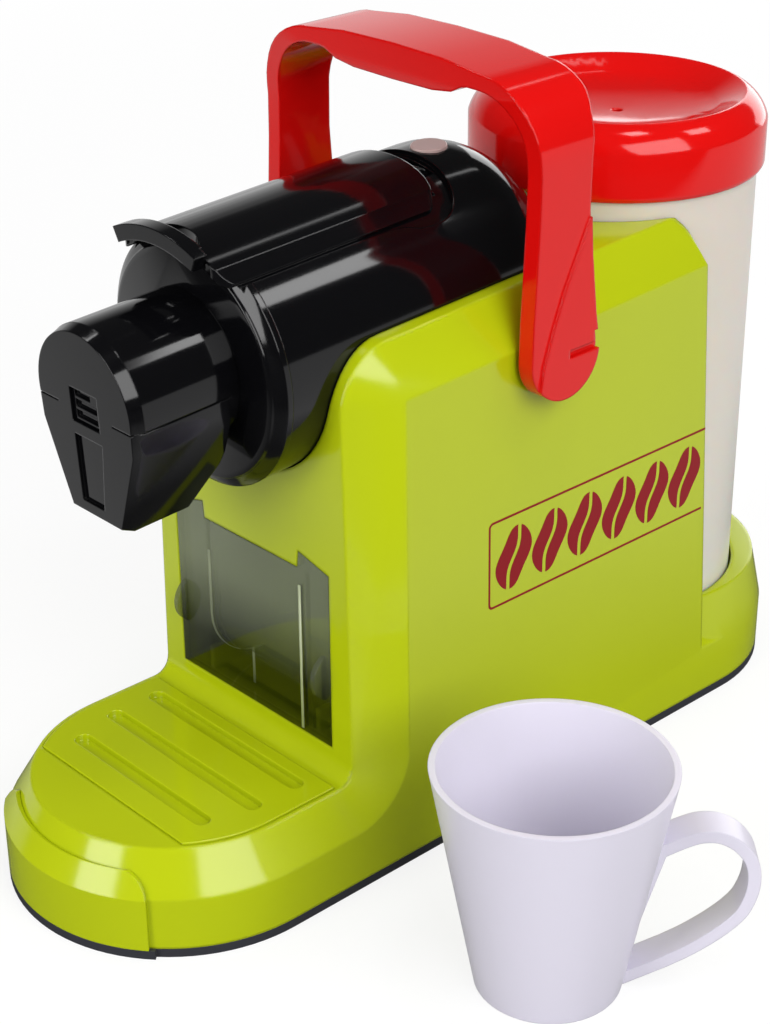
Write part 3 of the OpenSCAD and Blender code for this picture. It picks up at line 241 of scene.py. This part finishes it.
def moulded(
    name, colour, roughness, peel_mm=1.6, peel=0.03, flow_mm=70, depth=0.93, edge=0.3 * MM,
    shader=None,
):
    """A moulded plastic: rounded edges, slight flow shades, uneven gloss and a faint peel."""
    material = bpy.data.materials.new(name)
    material.use_nodes = True
    tree = material.node_tree
    surface = tree.nodes["Principled BSDF"]
    place = add(tree, "ShaderNodeTexCoord").outputs["Object"]
    deeper = [v * depth for v in colour[:3]] + [1.0]
    shade = mixed(tree, "RGBA", noise(tree, place, flow_mm, detail=2.0), colour, deeper)
    tree.links.new(shade, surface.inputs["Base Color"])
    gloss = ranged(
        tree, noise(tree, place, WEAR_MM, detail=4.0), low=0.0, high=1.0,
        at_low=roughness * (1 - GLOSS_SPREAD), at_high=roughness * (1 + GLOSS_SPREAD),
    )
    tree.links.new(gloss, surface.inputs["Roughness"])
    rounding = add(tree, "ShaderNodeBevel", {"samples": EDGE_SAMPLES, "Radius": edge})
    bump = add(
        tree, "ShaderNodeBump", {"Strength": peel, "Distance": PEEL_HEIGHT},
        Height=noise(tree, place, peel_mm, detail=3.0), Normal=rounding.outputs["Normal"],
    )
    tree.links.new(bump.outputs["Normal"], surface.inputs["Normal"])
    for key, value in (shader or {}).items():
        surface.inputs[key].default_value = value
    return material


def painted_light_and_shade_by_height(material, code, low_mm, high_mm):
    """Paints light and shade by height: one colour up to low_mm, the material's own from high_mm
    on.
    """
    tree = material.node_tree
    base = tree.nodes["Principled BSDF"].inputs["Base Color"]
    upper = base.links[0].from_socket
    place = add(tree, "ShaderNodeTexCoord").outputs["Object"]
    height = add(tree, "ShaderNodeSeparateXYZ", Vector=place).outputs["Z"]
    level = ranged(tree, height, low_mm * MM, high_mm * MM)
    tree.links.new(mixed(tree, "RGBA", level, linear(code), upper), base)
    return material


def mix_finishes(colours, edges):
    """Makes the finishes. Each key is a slot, but lime insert, ink and edge, a painted highlight.
    """
    # Glossy ABS in lime: a polished-tool skin with sharp, bright reflections.
    FINISHES["lime"] = moulded(
        "moulded ABS lime", colours.lime, 0.13, edge=edges.housing, shader={"IOR": 1.53}
    )
    # The same lime ABS with crisper edges, for the tray's grooves and the bezel.
    FINISHES["lime insert"] = moulded(
        "moulded ABS lime insert", colours.lime, 0.13, edge=INSERT_SHARE * edges.housing,
        shader={"IOR": 1.53},
    )
    # Black ABS: the same polished skin, nearly mirror-like, with faint handling haze.
    FINISHES["black"] = moulded(
        "moulded ABS black", colours.black, 0.09, peel_mm=2.2, peel=0.015, edge=edges.head,
        shader={"IOR": 1.47},
    )
    # Textured dark grey polypropylene of base plate, socket and pump housing: satin.
    FINISHES["dark"] = moulded(
        "moulded polypropylene dark grey", linear("#33343A"), 0.42, peel_mm=0.8, peel=0.2
    )
    # Red ABS of lid and handle: glossy, with soft broad highlights.
    FINISHES["red"] = moulded(
        "moulded ABS red", colours.red, 0.09, edge=edges.handle, shader={"IOR": 1.46}
    )
    # Smoke-tinted clear polystyrene under a sharp gloss: what lies behind it shows, dimmed. A
    # painted shade darkens it towards the drawer's floor.
    smoke = moulded(
        "clear polystyrene smoke", colours.smoke, 0.05, peel_mm=6, peel=0.01,
        shader={"IOR": 1.57, "Specular IOR Level": 0.9, "Alpha": 0.5},
    )
    # Painted shade: the drawer turns dark green from 74 mm down to 50 mm.
    FINISHES["smoke"] = painted_light_and_shade_by_height(smoke, "#0E1606", 50, 74)
    # Painted highlight: pale strips for the light that the clear walls gather along their edges.
    FINISHES["edge"] = moulded(
        "painted highlight on drawer wall edges", linear("#B8C09C"), 0.2, peel_mm=6, peel=0.01
    )
    # Milky polypropylene of the tank: light passes through it and scatters.
    milky = moulded(
        "milky polypropylene", colours.milky, 0.3, peel_mm=2.5, peel=0.04, edge=edges.lid,
        shader={"IOR": 1.49, "Subsurface Weight": 0.35, "Subsurface Scale": 4 * MM},
    )
    # Painted light: the tank turns paler from 150 mm down to 30 mm.
    FINISHES["milky"] = painted_light_and_shade_by_height(milky, "#D9D5CB", 30, 150)
    # Polypropylene of the cup: satin gloss.
    FINISHES["cup"] = moulded(
        "moulded polypropylene pale lavender", colours.cup, 0.3, peel_mm=2.0, peel=0.02,
        depth=0.98, edge=edges.cup,
    )
    # ABS push button: satin.
    FINISHES["button"] = moulded("moulded ABS pinkish grey", linear("#D2B8B3"), 0.3)
    # Zinc-plated and drawn steel of screws, contacts, pin and motor: fine drawing marks.
    FINISHES["steel"] = moulded(
        "drawn steel", linear("#B4B4B6"), 0.3, peel_mm=0.5, peel=0.2, shader={"Metallic": 1.0}
    )
    # Shrink wrapper of the cells: glossy and thin.
    FINISHES["cell"] = moulded("battery wrapper PVC green", linear("#2D5C3A"), 0.25)
    # Silicone seal: matt and soft.
    FINISHES["seal"] = moulded(
        "silicone rubber red-brown", linear("#8A3030"), 0.6, peel_mm=0.6, peel=0.3
    )
    # Soft PVC tube: satin.
    FINISHES["hose"] = moulded("soft PVC tube", linear("#B9B3A8"), 0.35)
    # Natural nylon of the pump's rotor: waxy.
    FINISHES["white"] = moulded("natural nylon", linear("#E8E8E4"), 0.45)
    # Glass-epoxy board of the switch: fine weave under varnish.
    FINISHES["pcb"] = moulded(
        "glass-epoxy board green", linear("#1F6A46"), 0.4, peel_mm=0.9, peel=0.3
    )
    # Pad-printing ink: thin and less glossy than the panel under it.
    FINISHES["ink"] = moulded(
        "pad-printing ink dark red", colours.ink, 0.4, peel_mm=0.7, peel=0.1, shader={"IOR": 1.3}
    )


# ---------- shaping helpers ----------

# Meshes are merged within a distance, and faces within an angle count as one flat face.
MERGE_WITHIN = 0.005 * MM
FLAT_WITHIN = math.radians(0.4)
# A fold's length may differ this much from the strap's width. Its curve takes up this percentage of
# the straight runs on both sides.
FOLD_SLACK = 0.2 * MM
FOLD_PERCENT = 46
FOLD_SEGMENTS = 4


def slot_of(node):
    """The material slot that the record gives the node."""
    for row in frame["record"]["subparts"]:
        if row["node"] == node:
            return row["material_slot"]
    raise RuntimeError("no slot for " + node)


def body_of(node):
    """The body that the node moves with."""
    for body, nodes in frame["record"]["behaviour"]["bodies"].items():
        if node in nodes:
            return body
    raise RuntimeError("no body for " + node)


def finished(bm, name, node, finish, replaces=()):
    """Makes the mesh an object, gives it its finish and joins it to the node's body."""
    mesh = bpy.data.meshes.new(name)
    for face in bm.faces:
        face.smooth = True
    bm.to_mesh(mesh)
    bm.free()
    piece = bpy.data.objects.new(name, mesh)
    bpy.context.scene.collection.objects.link(piece)
    mesh.materials.append(FINISHES[finish])
    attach(piece, body_of(node))
    if replaces:
        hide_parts(*replaces)
    return piece


def merged_copy(node):
    """The node's mesh with its triangles joined and its flat faces made whole."""
    bm = bmesh.new()
    bm.from_mesh(NODES[node].data)
    bmesh.ops.remove_doubles(bm, verts=bm.verts, dist=MERGE_WITHIN)
    bmesh.ops.dissolve_limit(bm, angle_limit=FLAT_WITHIN, verts=bm.verts, edges=bm.edges)
    return bm


def curve_folds(bm, least, most, strap):
    """Makes curves of a strap's folds: edges as long as it is wide, bent between two angles."""
    folds = [
        edge for edge in bm.edges
        if edge.is_manifold
        and math.radians(least) < edge.calc_face_angle(0) < math.radians(most)
        and abs(edge.calc_length() - strap) < FOLD_SLACK
    ]
    bmesh.ops.bevel(
        bm, geom=folds, affect="EDGES", offset=FOLD_PERCENT, offset_type="PERCENT",
        segments=FOLD_SEGMENTS, profile=0.5, material=-1, clamp_overlap=True,
    )


def softened(node, name, width=0.0, segments=3, angle=25, finish=None, folds=None):
    """A copy that replaces the node: smooth up to an angle and, with a width, with cut edges."""
    bm = merged_copy(node)
    if folds:
        curve_folds(bm, *folds)
    sharp = math.radians(angle)
    for edge in bm.edges:
        if edge.is_manifold and edge.calc_face_angle(0) > sharp:
            edge.smooth = False
    piece = finished(bm, name, node, finish or slot_of(node), replaces=(node,))
    if width:
        rounding = piece.modifiers.new("rounded edges", "BEVEL")
        rounding.width = width
        rounding.segments = segments
        rounding.limit_method = "ANGLE"
        rounding.angle_limit = sharp
        rounding.use_clamp_overlap = True
        rounding.harden_normals = True
    return piece


def keep(*nodes):
    """Gives CAD nodes their finishes."""
    for node in nodes:
        data = NODES[node].data
        data.materials.clear()
        data.materials.append(FINISHES[slot_of(node)])


# ---------- camera and light ----------

# The photograph's camera: turn in degrees, place in metres, lens and sensor in millimetres.
AZIMUTH, ELEVATION, ROLL = 47.508, 27.145, -0.472
CAMERA_AT = (0.4068, -0.3840, 0.3620)
LENS, SENSOR = 76.356, 36
NEAR_CLIP = 0.01
FLOOR_HALF = 15.0

# The small bright box and strip that the head mirrors, two lamps overhead, and the large lamps at
# the side, in front and behind. Each gets a share of one setting's power. Lengths are in metres.
LAMPS = (
    dict(name="window", setting="window", share=1.0, place=(0.42, 0.42, 0.78),
         aim=(0.0, -0.08, 0.16), sides=(0.20, 0.17)),
    dict(name="strip", setting="window", share=0.10, place=(-0.14, 0.48, 0.86),
         aim=(0.0, -0.05, 0.18), sides=(0.30, 0.035)),
    dict(name="top left", setting="top", share=0.55, place=(-0.70, -0.20, 1.35),
         aim=(0.0, 0.0, 0.18), sides=(0.30, 0.26)),
    dict(name="top right", setting="top", share=0.45, place=(0.34, 0.0, 1.40),
         aim=(0.0, 0.0, 0.18), sides=(0.26, 0.22)),
    dict(name="side", setting="side", share=1.0, place=(1.10, -0.20, 0.82),
         aim=(0.0, 0.0, 0.10), sides=(1.0, 0.9)),
    dict(name="front", setting="front", share=1.0, place=(-0.05, -1.30, 0.55),
         aim=(0.0, 0.0, 0.10), sides=(1.0, 0.55), along=(0, 0, 1)),
    dict(name="back", setting="back", share=1.0, place=(-0.35, 1.25, 0.35),
         aim=(0.0, 0.0, 0.10), sides=(1.0, 0.6)),
)


def placed(at, right, up, back):
    """The matrix of an object that stands at a place with its X, Y and Z in three directions."""
    return Matrix.Translation(at) @ Matrix((right, up, back)).transposed().to_4x4()


def aim_camera():
    """Stands the camera where the photograph's was, with the same turn and lens."""
    data = bpy.data.cameras.new("camera")
    camera = bpy.data.objects.new("camera", data)
    bpy.context.scene.collection.objects.link(camera)
    az, el, roll = (math.radians(v) for v in (AZIMUTH, ELEVATION, ROLL))
    right = Vector((math.cos(az), math.sin(az), 0))
    ahead = Vector((-math.sin(az) * math.cos(el), math.cos(az) * math.cos(el), -math.sin(el)))
    up = right.cross(ahead)
    turned_right = math.cos(roll) * right + math.sin(roll) * up
    turned_up = math.cos(roll) * up - math.sin(roll) * right
    camera.matrix_world = placed(CAMERA_AT, turned_right, turned_up, -ahead)
    data.sensor_width = SENSOR
    data.lens = LENS
    data.clip_start = NEAR_CLIP
    bpy.context.scene.camera = camera


def softbox(light, name, setting, share, place, aim, sides, along=(0, 1, 0)):
    """A rectangular lamp. Its first side lies as near as it can to the direction along."""
    data = bpy.data.lights.new(name, "AREA")
    data.shape = "RECTANGLE"
    data.size, data.size_y = sides
    data.energy = share * getattr(light, setting)
    lamp = bpy.data.objects.new(name, data)
    bpy.context.scene.collection.objects.link(lamp)
    back = (Vector(place) - Vector(aim)).normalized()
    first = (Vector(along) - Vector(along).dot(back) * back).normalized()
    lamp.matrix_world = placed(place, first, back.cross(first), back)


def floor_material():
    """Painted floor: white to the camera with the object's soft shadow, a mid grey to the rest."""
    material = bpy.data.materials.new("painted studio floor")
    material.use_nodes = True
    tree = material.node_tree
    surface = tree.nodes["Principled BSDF"]
    surface.inputs["Roughness"].default_value = 0.8
    surface.inputs["Specular IOR Level"].default_value = 0.1
    rays = add(tree, "ShaderNodeLightPath").outputs
    place = add(tree, "ShaderNodeTexCoord").outputs["Object"]
    # The distance from the object, in an oval that is as long as it is.
    oval = add(tree, "ShaderNodeMapping", {"Scale": (1, 0.45, 0)}, Vector=place)
    length = add(tree, "ShaderNodeVectorMath", {"operation": "LENGTH"})
    tree.links.new(oval.outputs["Vector"], length.inputs[0])
    far = length.outputs["Value"]
    # Painted reflection: in gloss the floor shines at the sides. It is dim in front, and close to
    # the object a painted shadow dims it.
    front = reach(tree, place, (0.45, -0.9, 0))
    side = ranged(tree, front, low=0.06, high=0.30, at_low=0.7, at_high=0.03)
    near = ranged(tree, far, low=0.08, high=0.16, at_low=0.12)
    level = combined(tree, "MULTIPLY", side, near)
    mirrored = combined(tree, "MULTIPLY", rays["Is Glossy Ray"], level)
    # To the camera it turns into plain white with the distance, so that its edge can't be seen.
    white_out = ranged(tree, far, low=0.25, high=0.9, at_low=0.8)
    seen = combined(tree, "MULTIPLY", rays["Is Camera Ray"], white_out)
    part = combined(tree, "MAXIMUM", seen, mirrored)
    # Painted shade in gloss: the floor's colour is dark grey to glossy rays and mid grey to the
    # rest.
    lit = mixed(tree, "RGBA", rays["Is Glossy Ray"], linear("#B4B4B4"), linear("#202020"))
    paint = mixed(tree, "RGBA", rays["Is Camera Ray"], lit, linear("#FFFFFF"))
    tree.links.new(paint, surface.inputs["Base Color"])
    white = add(tree, "ShaderNodeEmission", {"Strength": 1.0})
    mix = add(tree, "ShaderNodeMixShader", Fac=part)
    tree.links.new(surface.outputs["BSDF"], mix.inputs[1])
    tree.links.new(white.outputs["Emission"], mix.inputs[2])
    tree.links.new(mix.outputs["Shader"], tree.nodes["Material Output"].inputs["Surface"])
    return material


def light_world(fill):
    """White to the camera and through clear walls; a bright wall at the far left for the gloss."""
    world = bpy.data.worlds.new("studio")
    world.use_nodes = True
    tree = world.node_tree
    rays = add(tree, "ShaderNodeLightPath").outputs
    direction = add(tree, "ShaderNodeTexCoord").outputs["Generated"]
    toward = reach(tree, direction, Vector((-0.72, 0.55, -0.42)).normalized())
    wall = ranged(tree, toward, low=0.56, high=0.97, at_low=0.05, at_high=1.2)
    lit = mixed(tree, "FLOAT", rays["Is Glossy Ray"], fill, wall)
    seen = combined(tree, "MAXIMUM", rays["Is Camera Ray"], rays["Is Transmission Ray"])
    surface = tree.nodes["Background"]
    tree.links.new(mixed(tree, "FLOAT", seen, lit, 1.0), surface.inputs["Strength"])
    surface.inputs["Color"].default_value = (1, 1, 1, 1)
    bpy.context.scene.world = world


# ---------- operators ----------

# Shares: of the housing's rounding for the cut edges of tray and base plate, of the head's for the
# button's, and of the printed line's width that goes when the frame is cut open.
CUT_SHARE = 0.2
BUTTON_SHARE = 0.8
OPEN_SHARE = 1.1
# A face looks to the side where its normal's X is larger than this.
SIDEWAYS = 0.9
CORNER_SEGMENTS = 5
BEAN_SEGMENTS = 44
SLIT_CUTS = 18
SCOOP_STEPS = 14

# The drawer's upright lines of painted highlight, in mm: place across the drawer, depth from the
# far line, and foot and top over the underside. They stand for the light along the near wall's
# front edge and along the rib under the scoop.
UPRIGHTS = (
    dict(across=21.2, depth=-1.9, foot=1.5, top=46),
    dict(across=-6, depth=3.5, foot=1.5, top=13),
)


def whole(bm):
    """All that a mesh holds."""
    return bm.verts[:] + bm.edges[:] + bm.faces[:]


class FINISH_OT_mix(bpy.types.Operator):
    """Mixes the finishes of all the pieces"""

    bl_idname = "coffee_toy.mix_finishes"
    bl_label = "Finishes"

    def execute(self, context):
        mix_finishes(context.scene.toy_colours, context.scene.edge_rounding)
        return {"FINISHED"}


class STAGE_OT_build(bpy.types.Operator):
    """Builds the floor, the lamps and the camera"""

    bl_idname = "coffee_toy.build_stage"
    bl_label = "Stage"

    def execute(self, context):
        context.scene.view_settings.view_transform = "Standard"
        light = context.scene.studio_light
        aim_camera()
        light_world(light.fill)
        bm = bmesh.new()
        bmesh.ops.create_grid(bm, x_segments=1, y_segments=1, size=FLOOR_HALF)
        mesh = bpy.data.meshes.new("floor")
        bm.to_mesh(mesh)
        bm.free()
        floor = bpy.data.objects.new("floor", mesh)
        context.scene.collection.objects.link(floor)
        mesh.materials.append(floor_material())
        for lamp in LAMPS:
            softbox(light, **lamp)
        return {"FINISHED"}


class HOUSING_OT_mould(bpy.types.Operator):
    """Moulds the lime housing with its bezel and tray, and the base plate"""

    bl_idname = "coffee_toy.mould_housing"
    bl_label = "Housing"

    def execute(self, context):
        cut = CUT_SHARE * context.scene.edge_rounding.housing
        softened("body_shell", "housing_moulding", angle=14)
        softened("front_bezel", "bezel_moulding", finish="lime insert")
        softened("drip_tray", "tray_moulding", cut, finish="lime insert")
        softened("base_plate", "base_plate_moulding", cut)
        keep("battery_door", "battery_door_screw", "battery_1", "battery_2", "battery_3",
             "battery_contacts", "housing_screws", "drawer_liner")
        return {"FINISHED"}


class PRINT_OT_apply(bpy.types.Operator):
    """Prints the side panel: a frame line, open at the rear, with a row of coffee beans"""

    bl_idname = "coffee_toy.print_panel"
    bl_label = "Panel print"

    def frame_line(self, bm, size):
        """A frame line with two round corners, open at the rear."""
        wide, high = size.rear + size.front, size.high - size.low
        middle = Matrix.Translation((wide / 2 - size.front, size.low + high / 2, 0))
        extent = Matrix.Diagonal((wide, high, 1, 1))
        made = bmesh.ops.create_grid(
            bm, x_segments=1, y_segments=1, size=0.5, matrix=middle @ extent
        )
        fronts = [vert for vert in made["verts"] if vert.co.x < 0]
        bmesh.ops.bevel(
            bm, geom=fronts, affect="VERTICES", offset=size.corner, segments=CORNER_SEGMENTS,
            profile=0.5, material=-1,
        )
        bmesh.ops.inset_region(
            bm, faces=bm.faces[:], thickness=size.line, use_even_offset=True, use_boundary=True
        )
        inner = max(bm.faces, key=lambda face: face.calc_area())
        bmesh.ops.delete(bm, geom=[inner], context="FACES")
        # The rear side goes, with a little more than the width of the line.
        end = size.rear - OPEN_SHARE * size.line
        bmesh.ops.bisect_plane(
            bm, geom=whole(bm), plane_co=(end, 0, 0), plane_no=(1, 0, 0), clear_outer=True
        )

    def bean(self, bm, size, place):
        """One bean: an ellipse parted by a curved slit."""
        for side in (-1, 1):
            half = bmesh.new()
            bmesh.ops.create_circle(half, cap_ends=True, segments=BEAN_SEGMENTS, radius=0.5)
            bmesh.ops.scale(half, vec=(size.bean_width, size.bean_length, 1), verts=half.verts)
            bmesh.ops.bisect_plane(
                half, geom=whole(half), plane_co=(side * size.slit / 2 * size.bean_width, 0, 0),
                plane_no=(-side, 0, 0), clear_outer=True,
            )
            cut = max(half.edges, key=lambda edge: edge.calc_length())
            bmesh.ops.subdivide_edges(half, edges=[cut], cuts=SLIT_CUTS)
            swing = size.swing * size.bean_width
            for vert in half.verts:
                along = 2 * vert.co.y / size.bean_length
                vert.co.x += swing * math.sin(math.pi * along) * (1 - along**2) ** 0.5
            bmesh.ops.transform(half, matrix=place, verts=half.verts)
            part = bpy.data.meshes.new("half bean")
            half.to_mesh(part)
            half.free()
            bm.from_mesh(part)
            bpy.data.meshes.remove(part)

    def execute(self, context):
        size = context.scene.panel_print
        # The side panel is the largest flat face that looks to the side.
        shell = merged_copy("body_shell")
        sideways = [face for face in shell.faces if face.normal.x > SIDEWAYS]
        panel = max(sideways, key=lambda face: face.calc_area())
        out = panel.normal.copy()
        level = out.dot(panel.calc_center_median()) + size.ink
        shell.free()
        bm = bmesh.new()
        self.frame_line(bm, size)
        first, last = size.front_gap - size.front, size.rear - size.rear_gap
        step = (last - first) / size.beans
        lean = Matrix.Rotation(-size.lean, 4, "Z")
        for i in range(size.beans):
            middle = Vector((first + (i + 0.5) * step, (size.low + size.high) / 2, 0))
            self.bean(bm, size, Matrix.Translation(middle) @ lean)
        # The drawing's X and Y become the panel's Y and Z.
        for vert in bm.verts:
            y, z = vert.co.x, vert.co.y
            vert.co = Vector(((level - out.y * y - out.z * z) / out.x, y, z))
        for face in bm.faces:
            face.normal_update()
            if face.normal.x < 0:
                face.normal_flip()
        finished(bm, "panel_print", "body_shell", "ink")
        return {"FINISHED"}


class DRAWER_OT_mould(bpy.types.Operator):
    """Moulds the smoke-clear capsule drawer and lays painted highlights along its walls' edges"""

    bl_idname = "coffee_toy.mould_drawer"
    bl_label = "Capsule drawer"

    def far_line(self, bm, lines, far, underside):
        """Painted highlight on the bin's far outline: straight down, then round the scoop's axis.
        """
        axis = Vector((0, far + lines.scoop, underside + lines.floor + lines.scoop))
        top = axis.z + lines.rise
        start = [bm.verts.new((x, far, top)) for x in (-lines.side, lines.width - lines.side)]
        edge = bm.edges.new(start)
        down = bmesh.ops.extrude_edge_only(bm, edges=[edge])["geom"]
        ends = [item for item in down if isinstance(item, bmesh.types.BMVert)]
        bmesh.ops.translate(bm, vec=(0, 0, -lines.rise), verts=ends)
        foot = [item for item in down if isinstance(item, bmesh.types.BMEdge)]
        bmesh.ops.spin(
            bm, geom=foot[:1], cent=axis, axis=(1, 0, 0), angle=math.radians(90),
            steps=SCOOP_STEPS, use_merge=False, use_normal_flip=False, use_duplicate=False,
        )

    def execute(self, context):
        lines = context.scene.drawer_lines
        softened("capsule_drawer", "drawer_moulding", lines.edge, segments=2)
        low = Vector(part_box("capsule_drawer")[0])
        far = low.y + lines.depth
        # Pale lines of painted highlight, for the light along the bin's walls.
        bm = bmesh.new()
        self.far_line(bm, lines, far, low.z)
        upright = Matrix.Rotation(math.radians(90), 4, "X")
        for line in UPRIGHTS:
            height = (line["foot"] + line["top"]) / 2 * MM
            place = (line["across"] * MM, far + line["depth"] * MM, low.z + height)
            extent = (lines.width, (line["top"] - line["foot"]) * MM, 1, 1)
            bmesh.ops.create_grid(
                bm, x_segments=1, y_segments=1, size=0.5,
                matrix=Matrix.Translation(place) @ upright @ Matrix.Diagonal(extent),
            )
        bmesh.ops.solidify(bm, geom=bm.faces[:], thickness=lines.thickness)
        bmesh.ops.recalc_face_normals(bm, faces=bm.faces)
        finished(bm, "drawer_edge_highlights", "capsule_drawer", "edge")
        return {"FINISHED"}


class HEAD_OT_mould(bpy.types.Operator):
    """Moulds the black head: barrel, collar, nozzle and lever, and the button behind it"""

    bl_idname = "coffee_toy.mould_head"
    bl_label = "Head and lever"

    def execute(self, context):
        width = context.scene.edge_rounding.head
        softened("head_barrel", "barrel_moulding")
        softened("collar_ring", "collar_moulding", width)
        softened("nozzle_housing", "nozzle_moulding", angle=20)
        softened("nozzle_grille", "grille_moulding")
        softened("spout", "spout_moulding")
        softened("lever", "lever_moulding", angle=20)
        softened("start_button", "button_moulding", BUTTON_SHARE * width)
        keep("capsule_chute", "lever_pin", "start_switch")
        return {"FINISHED"}


class HANDLE_OT_mould(bpy.types.Operator):
    """Moulds the red carry handle and its pegs"""

    bl_idname = "coffee_toy.mould_handle"
    bl_label = "Carry handle"

    def execute(self, context):
        softened("carry_handle", "handle_moulding")
        keep("pivot_pegs")
        return {"FINISHED"}


class TANK_OT_mould(bpy.types.Operator):
    """Moulds the water tank, its lid and its socket"""

    bl_idname = "coffee_toy.mould_tank"
    bl_label = "Water tank"

    def execute(self, context):
        width = context.scene.edge_rounding.lid
        softened("water_tank", "tank_moulding", width)
        softened("tank_lid", "lid_moulding", width)
        keep("tank_socket", "socket_seal", "tank_valve")
        return {"FINISHED"}


class CUP_OT_mould(bpy.types.Operator):
    """Moulds the play cup"""

    bl_idname = "coffee_toy.mould_cup"
    bl_label = "Play cup"

    def execute(self, context):
        # The handle's strap is 9 mm wide and folds by 6 to 44 degrees.
        softened("toy_cup", "cup_moulding", folds=(6, 44, 9 * MM))
        return {"FINISHED"}


class PUMP_OT_finish(bpy.types.Operator):
    """Gives the pump, its motor and its hoses their finishes"""

    bl_idname = "coffee_toy.finish_pump"
    bl_label = "Pump"

    def execute(self, context):
        keep("pump_motor", "pump_housing", "pump_cover", "pump_rotor", "suction_hose",
             "delivery_hose")
        return {"FINISHED"}


OPERATORS = (
    FINISH_OT_mix, STAGE_OT_build, HOUSING_OT_mould, PRINT_OT_apply, DRAWER_OT_mould,
    HEAD_OT_mould, HANDLE_OT_mould, TANK_OT_mould, CUP_OT_mould, PUMP_OT_finish,
)


class COFFEE_PT_toy(bpy.types.Panel):
    """Sizes, colours and steps of the toy coffee maker"""

    bl_idname = "COFFEE_PT_toy"
    bl_label = "Coffee maker"
    bl_space_type = "VIEW_3D"
    bl_region_type = "UI"
    bl_category = "Coffee maker"

    def draw(self, context):
        for key in SETTINGS:
            column = self.layout.column(align=True)
            for name in SETTINGS[key].__annotations__:
                column.prop(getattr(context.scene, key), name)
        for kind in OPERATORS:
            self.layout.operator(kind.bl_idname)


def register():
    for kind in (*SETTINGS.values(), *OPERATORS, COFFEE_PT_toy):
        bpy.utils.register_class(kind)
    for key, kind in SETTINGS.items():
        setattr(bpy.types.Scene, key, PointerProperty(type=kind))


def unregister():
    for key in SETTINGS:
        delattr(bpy.types.Scene, key)
    for kind in reversed((*SETTINGS.values(), *OPERATORS, COFFEE_PT_toy)):
        bpy.utils.unregister_class(kind)


def main():
    register()
    steps = bpy.ops.coffee_toy
    steps.mix_finishes()
    steps.build_stage()
    steps.mould_housing()
    steps.print_panel()
    steps.mould_drawer()
    steps.mould_head()
    steps.mould_handle()
    steps.mould_tank()
    steps.mould_cup()
    steps.finish_pump()


if __name__ == "__main__":
    main()
